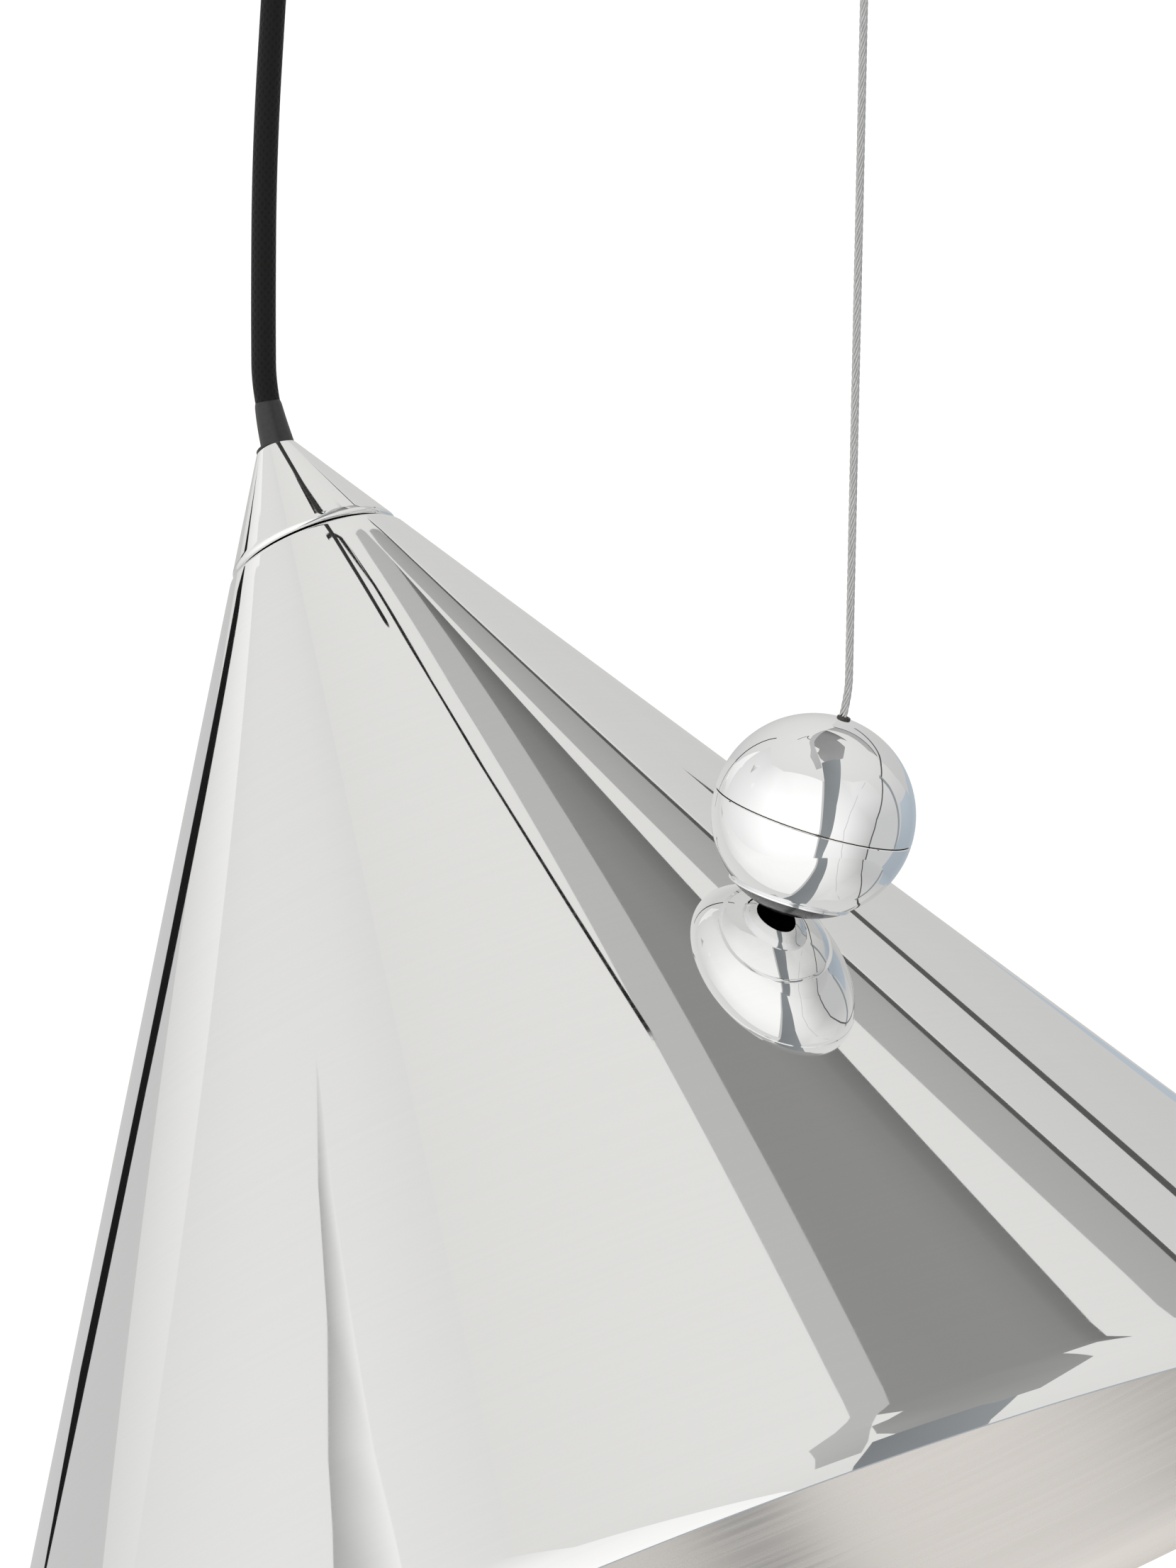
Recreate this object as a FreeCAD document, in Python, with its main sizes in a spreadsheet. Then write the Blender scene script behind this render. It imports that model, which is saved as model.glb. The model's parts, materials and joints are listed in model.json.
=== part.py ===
"""Tilted cone pendant lamp, held by its cord and by a steel wire that ends in a magnetic ball.

Units are millimetres and degrees. The origin is the middle of the ceiling plate's top face,
+Z is up, and +X runs from the cord's exit to the wire's exit. The lamp head is drawn in a frame
of its own whose origin is the cone's virtual apex and whose +Z is the cone's axis, so a depth
below the apex is a negative Z there. The ball is drawn about its own centre, +Z to its wire.
"""
import FreeCAD, Part
import math
import os
import Sketcher

SIZES = {
    # shade: a spun steel cone with a separate turned tip
    "half_angle": 30.3,
    "shade_tilt": 33.7,
    "tip_depth": 9.3,
    "seam_depth": 41.5,
    "seam_gap": 0.8,
    "rim_depth": 353.0,
    "shade_wall": 1.0,
    "neck_flange": 1.0,
    "curl_radius": 30.0,
    "curl_turn": 24.0,
    "cap_round": 1.2,
    "shade_round": 2.5,
    "shoulder_round": 1.1,
    # what joins the tip to the shade
    "spigot_radius": 12.0,
    "spigot_top": 27.4,
    "neck_radius": 20.0,
    "neck_thick": 3.0,
    "stem_radius": 5.0,
    "stem_bore": 3.7,
    "stem_top": 16.5,
    "stem_end": 55.5,
    "stem_seat": 0.5,
    "spigot_seat": 0.4,
    "nut_flats": 17.0,
    "nut_thick": 4.0,
    "thread_clear": 0.05,
    # cord and its boot
    "cord_radius": 3.35,
    "cord_lean_x": 2.9,
    "cord_lean_y": 3.3,
    "boot_root": 4.57,
    "boot_end": 3.6,
    "boot_above": 5.0,
    "collar_radius": 5.35,
    "collar_thick": 0.8,
    "collar_clear": 0.4,
    "sheath_end": 30.0,
    "lead_radius": 1.0,
    # lampholder
    "holder_top": 50.5,
    "holder_boss": 8.0,
    "boss_height": 4.5,
    "holder_shoulder": 10.5,
    "shoulder_wall": 1.0,
    "boss_floor_depth": 6.5,
    "holder_round": 3.0,
    "holder_radius": 20.0,
    "holder_wall": 1.5,
    "holder_skirt": 76.0,
    "sleeve_end": 104.0,
    "sleeve_wall": 3.3,
    "sleeve_overlap": 10.0,
    "core_top": 70.0,
    "core_thick": 10.0,
    "shell_thick": 0.4,
    "shell_clear": 0.25,
    "shell_short": 3.0,
    "tongue_thick": 2.4,
    "tongue_radius": 6.0,
    "tongue_tip": 3.5,
    "tongue_base": 0.6,
    "terminal_reach": 9.0,
    "terminal_radius": 1.8,
    # bulb with a 27 mm screw cap
    "cap_radius": 13.1,
    "cap_wall": 0.5,
    "cap_length": 23.0,
    "cap_shoulder": 2.0,
    "contact_radius": 4.0,
    "contact_thick": 1.5,
    "insulator_radius": 9.0,
    "insulator_thick": 1.5,
    "neck_in_cap": 10.0,
    "bulb_play": 0.1,
    "bulb_radius": 40.0,
    "bulb_neck": 12.5,
    "bulb_depth": 158.0,
    "glass_wall": 1.0,
    # ball
    "ball_radius": 25.0,
    "ball_wall": 1.5,
    "ball_seam": 0.24,
    "ball_lean": 15.8,
    "ball_lean_side": 44.0,
    "foot_plane": 19.9,
    "foot_radius": 25.3,
    "trim_thick": 0.5,
    "trim_radius": 15.45,
    "trim_bevel": 0.2,
    "magnet_radius": 10.0,
    "magnet_thick": 6.0,
    "magnet_skin": 3.0,
    "pot_wall": 1.2,
    "pot_top": 2.2,
    "joint_ring_half": 5.0,
    "joint_ring_wall": 1.5,
    "rod_radius": 2.0,
    "boss_radius": 7.0,
    "boss_low": 8.0,
    "boss_high": 21.8,
    "boss_floor": 13.5,
    "stop_radius": 2.2,
    "stop_length": 5.0,
    "stop_clear": 0.8,
    "stop_gap": 0.2,
    "rod_gap": 0.1,
    "ferrule_radius": 1.7,
    "ferrule_flange": 1.5,
    "ferrule_proud": 0.6,
    "contact_depth": 199.0,
    "contact_gap": 0.3,
    # wire and the gripper that holds it
    "wire_radius": 1.0,
    "wire_clear": 0.2,
    "wire_bend": 4.0,
    "grip_radius": 6.0,
    "grip_length": 14.5,
    "plunger_radius": 3.2,
    "plunger_out": 3.2,
    "grip_wall": 1.6,
    "grip_floor": 2.0,
    "grip_roof": 2.0,
    "collet_low": 7.5,
    "collet_high": 12.0,
    "spring_low": 3.5,
    "spring_length": 3.7,
    "spring_radius": 2.3,
    "spring_wire": 0.25,
    "spring_turns": 4,
    "pivot_one": 34.0,
    "pivot_two": 45.0,
    "pin_radius": 1.5,
    "pin_clear": 0.05,
    "tongue_half": 1.5,
    "ear_radius": 4.0,
    "ear_half": 4.6,
    "fork_web": 5.0,
    "fork_gap": 0.1,
    "link_width": 6.0,
    "link_nose": 4.6,
    "link_end": 3.0,
    "pin_over": 0.5,
    # canopy
    "apex_drop": 192.0,
    "plate_thick": 2.5,
    "plate_width": 30.0,
    "plate_over": 24.0,
    "slot_radius": 2.5,
    "slot_length": 14.0,
    "slot_spacing": 80.0,
    "cover_depth": 26.0,
    "cover_width": 60.0,
    "cover_over": 40.0,
    "cover_wall": 1.2,
    "cover_gap": 0.4,
    "wire_hole": 8.5,
    "bush_bore": 4.2,
    "bush_radius": 7.0,
    "bush_lip": 1.5,
    "bush_bevel": 0.8,
    "pillar_radius": 4.0,
    "pillar_spacing": 120.0,
    "screw_radius": 2.0,
    "screw_head": 5.0,
    "screw_head_thick": 2.6,
    "block_length": 34.0,
    "block_width": 18.0,
    "block_height": 14.0,
    "bracket_thick": 2.0,
    "bracket_width": 22.0,
    "bracket_low": 22.0,
    "bracket_foot": 12.0,
    "clamp_half": 7.9,
    "clamp_radius": 1.5,
    "clamp_up": 5.0,
    "clamp_head": 2.7,
    "clamp_head_thick": 2.0,
    "saddle_thick": 3.1,
    "saddle_half": 10.6,
    "saddle_height": 8.0,
    "saddle_wall": 1.6,
    "block_screw": 2.0,
}

document = FreeCAD.newDocument("pendant_lamp")
NODES = []


def fill_sheet(name, cells, formula):
    """One row for each value: its name, and a cell with that alias."""
    sheet = document.addObject("Spreadsheet::Sheet", name)
    for row, (alias, value) in enumerate(cells.items(), start=1):
        sheet.set(f"A{row}", alias)
        sheet.set(f"B{row}", f"={value}" if formula else str(value))
        sheet.setAlias(f"B{row}", alias)
        document.recompute()
    return sheet


sizes = fill_sheet("Sizes", SIZES, False)

# Places that follow from the sizes. In the shade's own plane the cone leans toward +X; the whole
# head is then turned by plane_turn about the vertical, so the cord's exit and the wire's exit
# both lie on the canopy's centre line.
LAYOUT = {
    "slope": "tan(Sizes.half_angle)",
    "wall_out": "Sizes.shade_wall / cos(Sizes.half_angle)",
    "rise": "Sizes.half_angle + Sizes.shade_tilt",
    "contact_x": "Sizes.contact_depth * (sin(Sizes.shade_tilt) + slope * cos(Sizes.shade_tilt))",
    "contact_z": "Sizes.contact_depth * (slope * sin(Sizes.shade_tilt) - cos(Sizes.shade_tilt))",
    "stand_off": "Sizes.foot_radius + Sizes.contact_gap",
    "centre_x": "contact_x + stand_off * cos(rise)",
    "centre_z": "contact_z + stand_off * sin(rise)",
    "reach": "Sizes.ball_radius + Sizes.wire_bend",
    "bend_x": "centre_x + reach * sin(Sizes.ball_lean) * cos(Sizes.ball_lean_side)",
    "bend_y": "reach * sin(Sizes.ball_lean) * sin(Sizes.ball_lean_side)",
    "run_x": "bend_x - Sizes.cord_lean_x",
    "run_y": "bend_y - Sizes.cord_lean_y",
    "plane_turn": "atan2(run_y; run_x)",
    "span": "hypot(run_x; run_y)",
    "cord_x": "-1 * span / 2",
    "wire_x": "span / 2",
    "apex_x": "cord_x - Sizes.cord_lean_x * cos(plane_turn) - Sizes.cord_lean_y * sin(plane_turn)",
    "apex_y": "Sizes.cord_lean_x * sin(plane_turn) - Sizes.cord_lean_y * cos(plane_turn)",
    "apex_z": "-1 * Sizes.apex_drop",
    "ball_x": "apex_x + centre_x * cos(plane_turn)",
    "ball_y": "apex_y - centre_x * sin(plane_turn)",
    "ball_z": "apex_z + centre_z",
    "wire_low": "apex_z + centre_z + reach * cos(Sizes.ball_lean)",
    "seam_low": "Sizes.seam_depth + Sizes.seam_gap / 2",
    "seam_high": "Sizes.seam_depth - Sizes.seam_gap / 2",
    "neck_face": "seam_low + Sizes.neck_flange",
    "turned": "Sizes.half_angle - Sizes.curl_turn",
    "curl_start": "Sizes.rim_depth - Sizes.curl_radius * (sin(Sizes.half_angle) - sin(turned))",
    "curl_r": "curl_start * slope",
    "rim_r": "curl_r + Sizes.curl_radius * (cos(turned) - cos(Sizes.half_angle))",
    "rim_in_r": "rim_r - Sizes.shade_wall * cos(turned)",
    "rim_in_depth": "Sizes.rim_depth + Sizes.shade_wall * sin(turned)",
    "core_low": "Sizes.core_top + Sizes.core_thick",
    "sleeve_radius": "Sizes.holder_radius - Sizes.thread_clear",
    "sleeve_bore": "Sizes.holder_radius - Sizes.sleeve_wall",
    "shell_radius": "Sizes.cap_radius + Sizes.shell_thick + Sizes.shell_clear",
    "tip_top": "core_low + Sizes.tongue_thick + Sizes.bulb_play",
    "cap_top": "tip_top + Sizes.contact_thick",
    "grip_top": "Sizes.pivot_two + Sizes.fork_web + 1.5",
    "grip_low": "grip_top + Sizes.grip_length",
    "inner_ball": "Sizes.ball_radius - Sizes.ball_wall",
    "foot_top": "Sizes.foot_plane + Sizes.trim_thick",
    "magnet_low": "Sizes.foot_radius - Sizes.magnet_skin",
    "magnet_top": "magnet_low - Sizes.magnet_thick",
    "pot_high": "magnet_top - Sizes.pot_top",
}
layout = fill_sheet("Layout", LAYOUT, True)

NO_TURN = "rotation(vector(0; 0; 1); 0)"
ROW = f"placement(vector(0; 0; 0); {NO_TURN})"
HEAD = ("placement(vector(Layout.apex_x; Layout.apex_y; Layout.apex_z);"
        " rotation(vector(0; 0; 1); -1 * Layout.plane_turn)"
        " * rotation(vector(0; 1; 0); -1 * Sizes.shade_tilt))")
BALL = ("placement(vector(Layout.ball_x; Layout.ball_y; Layout.ball_z);"
        " rotation(vector(0; 0; 1); Sizes.ball_lean_side * 1 deg - Layout.plane_turn)"
        " * rotation(vector(0; 1; 0); Sizes.ball_lean))")
WIRE = f"placement(vector(Layout.wire_x; 0; 0); {NO_TURN})"
CORD = f"placement(vector(Layout.cord_x; 0; 0); {NO_TURN})"
ALONG_X = "rotation(vector(0; 1; 0); 90)"
ALONG_Y = "rotation(vector(1; 0; 0); -90)"


def number(expression):
    """The value of an expression, without a unit."""
    value = sizes.evalExpression(expression)
    return float(getattr(value, "Value", value))


def node(thing, name):
    """Names a finished sub-part and keeps it for export."""
    thing.Label = name
    NODES.append(thing)
    return thing


def bind(thing, **cells):
    for name, expression in cells.items():
        thing.setExpression(name, expression)
    return thing


def place(thing, frame, x="0", y="0", z="0", turn=NO_TURN):
    thing.setExpression("Placement", f"{frame} * placement(vector({x}; {y}; {z}); {turn})")
    return thing


def outline_sketch(body, name, plane_role, corners):
    """A closed outline. A corner is (across, up) or (across, up, radius), where the radius is of
    the arc that runs from this corner to the next: over 0 turns left, under 0 turns right."""
    sketch = body.newObject("Sketcher::SketchObject", name)
    plane = [f for f in body.Origin.OriginFeatures if f.Role == plane_role][0]
    sketch.AttachmentSupport = [(plane, "")]
    sketch.MapMode = "FlatFace"
    spots = [FreeCAD.Vector(number(c[0]), number(c[1]), 0) for c in corners]
    starts, ends = [], []
    for index, corner in enumerate(corners):
        here, there = spots[index], spots[(index + 1) % len(spots)]
        if len(corner) == 2:
            sketch.addGeometry(Part.LineSegment(here, there), False)
            starts.append(1)
            ends.append(2)
            continue
        radius = number(corner[2])
        chord = there - here
        side = FreeCAD.Vector(-chord.y, chord.x, 0).normalize() * math.copysign(1, radius)
        centre = (here + there) / 2 + side * math.sqrt(radius ** 2 - chord.Length ** 2 / 4)
        first, last = (here, there) if radius > 0 else (there, here)
        angles = [math.atan2(p.y - centre.y, p.x - centre.x) for p in (first, last)]
        circle = Part.Circle(centre, FreeCAD.Vector(0, 0, 1), abs(radius))
        sketch.addGeometry(Part.ArcOfCircle(circle, angles[0], angles[1]), False)
        starts.append(1 if radius > 0 else 2)
        ends.append(2 if radius > 0 else 1)
    for index in range(len(corners)):
        after = (index + 1) % len(corners)
        sketch.addConstraint(
            Sketcher.Constraint("Coincident", index, ends[index], after, starts[after]))
    for index, corner in enumerate(corners):
        for kind, value, at in (("DistanceX", corner[0], spots[index].x),
                                ("DistanceY", corner[1], spots[index].y)):
            rule = Sketcher.Constraint(kind, -1, 1, index, starts[index], at)
            sketch.setExpression(f"Constraints[{sketch.addConstraint(rule)}]", value)
        if len(corner) == 3:
            rule = Sketcher.Constraint("Radius", index, abs(number(corner[2])))
            sketch.setExpression(
                f"Constraints[{sketch.addConstraint(rule)}]", f"abs({corner[2]})")
    return sketch


def turned(name, frame, corners, rounds=()):
    """A turned piece: a (radius, height) outline revolved about the frame's Z. Each entry of
    rounds is (radius, height, fillet) and rounds the edge at that corner."""
    body = document.addObject("PartDesign::Body", name)
    sketch = outline_sketch(body, name + "_outline", "XZ_Plane", corners)
    solid = body.newObject("PartDesign::Revolution", name + "_turn")
    solid.Profile = sketch
    solid.ReferenceAxis = (sketch, ["V_Axis"])
    solid.Angle = 360
    body.Tip = solid
    for index, (radius, height, fillet) in enumerate(rounds):
        document.recompute()
        names = []
        for count, edge in enumerate(body.Tip.Shape.Edges, start=1):
            if not isinstance(edge.Curve, Part.Circle):
                continue
            flat = abs(edge.Curve.Center.z - number(height)) < 1e-4
            if flat and abs(edge.Curve.Radius - number(radius)) < 1e-4:
                names.append(f"Edge{count}")
        sharp = body.Tip
        rounding = body.newObject("PartDesign::Fillet", f"{name}_round{index}")
        rounding.Base = (sharp, names)
        rounding.setExpression("Radius", fillet)
        body.Tip = rounding
    place(body, frame)
    return node(body, name)


def padded(name, frame, corners, low, height):
    """A flat outline in the frame's XY, padded up from a height."""
    body = document.addObject("PartDesign::Body", name)
    sketch = outline_sketch(body, name + "_outline", "XY_Plane", corners)
    solid = body.newObject("PartDesign::Pad", name + "_pad")
    solid.Profile = sketch
    solid.setExpression("Length", height)
    body.Tip = solid
    return place(body, frame, z=low)


def cylinder(name, frame, radius, height, x="0", y="0", z="0", turn=NO_TURN):
    rod = document.addObject("Part::Cylinder", name)
    bind(rod, Radius=radius, Height=height)
    return place(rod, frame, x, y, z, turn)


def block(name, frame, length, width, height, x, y, z):
    """A box whose low corner is at x, y, z."""
    box = document.addObject("Part::Box", name)
    bind(box, Length=length, Width=width, Height=height)
    return place(box, frame, x, y, z)


def joined(name, pieces):
    whole = document.addObject("Part::MultiFuse", name)
    whole.Shapes = pieces
    return whole


def cut(name, base, tools):
    """The base with every tool taken away."""
    result = document.addObject("Part::Cut", name)
    result.Base = base
    result.Tool = tools[0] if len(tools) == 1 else joined(name + "_tools", tools)
    return result


def group(name, pieces):
    """Like pieces that share one node as separate solids."""
    return node(joined(name, pieces), name)


# ---- shade and tip -------------------------------------------------------------------------

turned("cone_shade", HEAD, [
    ("Sizes.spigot_radius + 2 * Sizes.thread_clear", "-1 * Layout.seam_low"),
    ("Layout.seam_low * Layout.slope", "-1 * Layout.seam_low"),
    ("Layout.curl_r", "-1 * Layout.curl_start", "-1 * Sizes.curl_radius"),
    ("Layout.rim_r", "-1 * Sizes.rim_depth"),
    ("Layout.rim_in_r", "-1 * Layout.rim_in_depth", "Sizes.curl_radius - Sizes.shade_wall"),
    ("Layout.curl_r - Sizes.shade_wall * cos(Sizes.half_angle)",
     "-1 * Layout.curl_start - Sizes.shade_wall * sin(Sizes.half_angle)"),
    ("Layout.neck_face * Layout.slope - Layout.wall_out", "-1 * Layout.neck_face"),
    ("Sizes.spigot_radius + 2 * Sizes.thread_clear", "-1 * Layout.neck_face"),
], rounds=[("Layout.seam_low * Layout.slope", "-1 * Layout.seam_low", "Sizes.shade_round")])

turned("tip_cap", HEAD, [
    ("Sizes.boot_root + Sizes.thread_clear", "-1 * Sizes.tip_depth"),
    ("Sizes.boot_root + Sizes.thread_clear", "Sizes.stem_seat - Sizes.stem_top"),
    ("Sizes.stem_radius + Sizes.thread_clear", "Sizes.stem_seat - Sizes.stem_top"),
    ("Sizes.stem_radius + Sizes.thread_clear", "Sizes.spigot_seat - Sizes.spigot_top"),
    ("Sizes.spigot_radius + Sizes.thread_clear", "Sizes.spigot_seat - Sizes.spigot_top"),
    ("Sizes.spigot_radius + Sizes.thread_clear", "-1 * Layout.seam_high"),
    ("Layout.seam_high * Layout.slope", "-1 * Layout.seam_high"),
    ("Sizes.tip_depth * Layout.slope", "-1 * Sizes.tip_depth"),
], rounds=[
    ("Layout.seam_high * Layout.slope", "-1 * Layout.seam_high", "Sizes.cap_round"),
    ("Sizes.tip_depth * Layout.slope", "-1 * Sizes.tip_depth", "Sizes.shoulder_round"),
])

turned("neck_ring", HEAD, [
    ("Sizes.stem_radius + Sizes.thread_clear", "-1 * Sizes.spigot_top"),
    ("Sizes.spigot_radius", "-1 * Sizes.spigot_top"),
    ("Sizes.spigot_radius", "-1 * Layout.neck_face"),
    ("Sizes.neck_radius", "-1 * Layout.neck_face"),
    ("Sizes.neck_radius", "-1 * Layout.neck_face - Sizes.neck_thick"),
    ("Sizes.stem_radius + Sizes.thread_clear", "-1 * Layout.neck_face - Sizes.neck_thick"),
])

turned("stem_nipple", HEAD, [
    ("Sizes.stem_bore", "-1 * Sizes.stem_top"),
    ("Sizes.stem_radius", "-1 * Sizes.stem_top"),
    ("Sizes.stem_radius", "-1 * Sizes.stem_end"),
    ("Sizes.stem_bore", "-1 * Sizes.stem_end"),
])


def hexagon(flats):
    """Corners of a hexagon, given the distance over its flats."""
    corners = []
    for step in range(6):
        angle = 60 * step
        corners.append((f"{flats} / sqrt(3) * cos({angle})", f"{flats} / sqrt(3) * sin({angle})"))
    return corners


nut = padded("stem_nut_body", HEAD, hexagon("Sizes.nut_flats"),
             "-1 * Layout.neck_face - Sizes.neck_thick - Sizes.nut_thick", "Sizes.nut_thick")
nut_hole = cylinder("stem_nut_hole", HEAD, "Sizes.stem_radius + Sizes.thread_clear", "40",
                    z="-1 * Sizes.stem_end - 10")
node(cut("stem_nut", nut, [nut_hole]), "stem_nut")

turned("boot_collar", HEAD, [
    ("Sizes.boot_root + Sizes.collar_clear", "-1 * Sizes.tip_depth"),
    ("Sizes.boot_root + Sizes.collar_clear", "Sizes.collar_thick - Sizes.tip_depth"),
    ("Sizes.collar_radius - Sizes.collar_thick / 2", "Sizes.collar_thick - Sizes.tip_depth"),
    ("Sizes.collar_radius", "Sizes.collar_thick / 2 - Sizes.tip_depth"),
    ("Sizes.collar_radius - 0.1", "-1 * Sizes.tip_depth"),
])

# ---- lampholder ----------------------------------------------------------------------------

turned("holder_cap", HEAD, [
    ("Sizes.stem_radius + Sizes.thread_clear", "-1 * Sizes.holder_top"),
    ("Sizes.holder_boss", "-1 * Sizes.holder_top"),
    ("Sizes.holder_boss", "-1 * Sizes.boss_height - Sizes.holder_top"),
    ("Sizes.holder_radius", "-1 * Sizes.holder_shoulder - Sizes.holder_top"),
    ("Sizes.holder_radius", "-1 * Sizes.holder_skirt"),
    ("Sizes.holder_radius - Sizes.holder_wall", "-1 * Sizes.holder_skirt"),
    ("Sizes.holder_radius - Sizes.holder_wall",
     "-1 * Sizes.shoulder_wall - Sizes.holder_shoulder - Sizes.holder_top"),
    ("Sizes.holder_boss", "-1 * Sizes.boss_floor_depth - Sizes.holder_top"),
    ("Sizes.stem_radius + Sizes.thread_clear", "-1 * Sizes.boss_floor_depth - Sizes.holder_top"),
], rounds=[("Sizes.holder_radius", "-1 * Sizes.holder_shoulder - Sizes.holder_top",
           "Sizes.holder_round")])

turned("holder_sleeve", HEAD, [
    ("Layout.sleeve_bore", "Sizes.sleeve_overlap - Sizes.holder_skirt"),
    ("Sizes.holder_radius - Sizes.holder_wall - Sizes.thread_clear",
     "Sizes.sleeve_overlap - Sizes.holder_skirt"),
    ("Sizes.holder_radius - Sizes.holder_wall - Sizes.thread_clear", "-1 * Sizes.holder_skirt"),
    ("Layout.sleeve_radius", "-1 * Sizes.holder_skirt"),
    ("Layout.sleeve_radius", "-1 * Sizes.sleeve_end"),
    ("Layout.sleeve_bore", "-1 * Sizes.sleeve_end"),
])

core = cylinder("core_body", HEAD, "Layout.sleeve_bore - Sizes.thread_clear", "Sizes.core_thick",
                z="-1 * Layout.core_low")
core_holes = []
terminal_pins = []
leads = []
for side in (-1, 1):
    reach = f"{side} * Sizes.terminal_reach"
    core_holes.append(cylinder(f"core_hole{side + 1}", HEAD,
                               "Sizes.terminal_radius + Sizes.thread_clear",
                               "Sizes.core_thick / 2 + 1", x=reach,
                               z="-1 * Sizes.core_top - Sizes.core_thick / 2"))
    terminal_pins.append(cylinder(f"terminal_pin{side + 1}", HEAD, "Sizes.terminal_radius",
                                  "Sizes.core_thick / 2 + 1", x=reach,
                                  z="-1 * Sizes.core_top - Sizes.core_thick / 2"))
node(cut("holder_core", core, core_holes), "holder_core")
group("terminal_screws", terminal_pins)

turned("contact_shell", HEAD, [
    ("Layout.shell_radius - Sizes.shell_thick", "-1 * Layout.core_low"),
    ("Layout.shell_radius", "-1 * Layout.core_low"),
    ("Layout.shell_radius", "Sizes.shell_short - Sizes.sleeve_end"),
    ("Layout.shell_radius - Sizes.shell_thick", "Sizes.shell_short - Sizes.sleeve_end"),
])

turned("centre_contact", HEAD, [
    ("0", "-1 * Layout.core_low"),
    ("Sizes.tongue_radius", "-1 * Layout.core_low"),
    ("Sizes.tongue_radius", "-1 * Sizes.tongue_base - Layout.core_low"),
    ("Sizes.tongue_tip", "-1 * Layout.core_low - Sizes.tongue_thick"),
    ("0", "-1 * Layout.core_low - Sizes.tongue_thick"),
])

# ---- bulb ----------------------------------------------------------------------------------

turned("bulb_contact", HEAD, [
    ("0", "-1 * Layout.tip_top"),
    ("Sizes.contact_radius", "-1 * Layout.tip_top"),
    ("Sizes.contact_radius", "-1 * Layout.cap_top"),
    ("0", "-1 * Layout.cap_top"),
])

turned("bulb_insulator", HEAD, [
    ("0", "-1 * Layout.cap_top"),
    ("Sizes.insulator_radius", "-1 * Layout.cap_top"),
    ("Sizes.insulator_radius", "-1 * Sizes.insulator_thick - Layout.cap_top"),
    ("0", "-1 * Sizes.insulator_thick - Layout.cap_top"),
])

turned("bulb_base", HEAD, [
    ("Sizes.insulator_radius + Sizes.thread_clear", "-1 * Layout.cap_top"),
    ("Sizes.cap_radius - Sizes.cap_shoulder", "-1 * Layout.cap_top"),
    ("Sizes.cap_radius", "-1 * Sizes.cap_shoulder - Layout.cap_top"),
    ("Sizes.cap_radius", "-1 * Layout.cap_top - Sizes.cap_length"),
    ("Sizes.cap_radius - Sizes.cap_wall", "-1 * Layout.cap_top - Sizes.cap_length"),
    ("Sizes.cap_radius - Sizes.cap_wall", "-2.2 - Layout.cap_top"),
    ("Sizes.cap_radius - 2.4", "-1 - Layout.cap_top"),
    ("Sizes.insulator_radius + Sizes.thread_clear", "-1 - Layout.cap_top"),
])

turned("bulb_glass", HEAD, [
    ("Sizes.bulb_neck - Sizes.glass_wall", "Sizes.neck_in_cap - Layout.cap_top - Sizes.cap_length"),
    ("Sizes.bulb_neck", "Sizes.neck_in_cap - Layout.cap_top - Sizes.cap_length"),
    ("Sizes.bulb_neck", "sqrt(Sizes.bulb_radius ^ 2 - Sizes.bulb_neck ^ 2) - Sizes.bulb_depth",
     "-1 * Sizes.bulb_radius"),
    ("Sizes.bulb_radius", "-1 * Sizes.bulb_depth", "-1 * Sizes.bulb_radius"),
    ("0", "-1 * Sizes.bulb_radius - Sizes.bulb_depth"),
    ("0", "Sizes.glass_wall - Sizes.bulb_radius - Sizes.bulb_depth",
     "Sizes.bulb_radius - Sizes.glass_wall"),
    ("Sizes.bulb_radius - Sizes.glass_wall", "-1 * Sizes.bulb_depth",
     "Sizes.bulb_radius - Sizes.glass_wall"),
    ("Sizes.bulb_neck - Sizes.glass_wall",
     "sqrt((Sizes.bulb_radius - Sizes.glass_wall) ^ 2"
     " - (Sizes.bulb_neck - Sizes.glass_wall) ^ 2) - Sizes.bulb_depth"),
])

# ---- ball ----------------------------------------------------------------------------------

turned("ball_upper_shell", BALL, [
    ("sqrt(Sizes.ball_radius ^ 2 - Sizes.ball_seam ^ 2 / 4)", "Sizes.ball_seam / 2",
     "Sizes.ball_radius"),
    ("Sizes.ferrule_radius + Sizes.thread_clear",
     "sqrt(Sizes.ball_radius ^ 2 - (Sizes.ferrule_radius + Sizes.thread_clear) ^ 2)"),
    ("Sizes.ferrule_radius + Sizes.thread_clear",
     "sqrt(Layout.inner_ball ^ 2 - (Sizes.ferrule_radius + Sizes.thread_clear) ^ 2)",
     "-1 * Layout.inner_ball"),
    ("sqrt(Layout.inner_ball ^ 2 - Sizes.ball_seam ^ 2 / 4)", "Sizes.ball_seam / 2"),
])

turned("ball_lower_shell", BALL, [
    ("sqrt(Sizes.ball_radius ^ 2 - Sizes.ball_seam ^ 2 / 4)", "Sizes.ball_seam / -2",
     "-1 * Sizes.ball_radius"),
    ("sqrt(Sizes.ball_radius ^ 2 - Sizes.foot_plane ^ 2)", "-1 * Sizes.foot_plane"),
    ("sqrt(Layout.inner_ball ^ 2 - Sizes.foot_plane ^ 2)", "-1 * Sizes.foot_plane",
     "Layout.inner_ball"),
    ("sqrt(Layout.inner_ball ^ 2 - Sizes.ball_seam ^ 2 / 4)", "Sizes.ball_seam / -2"),
])

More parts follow.
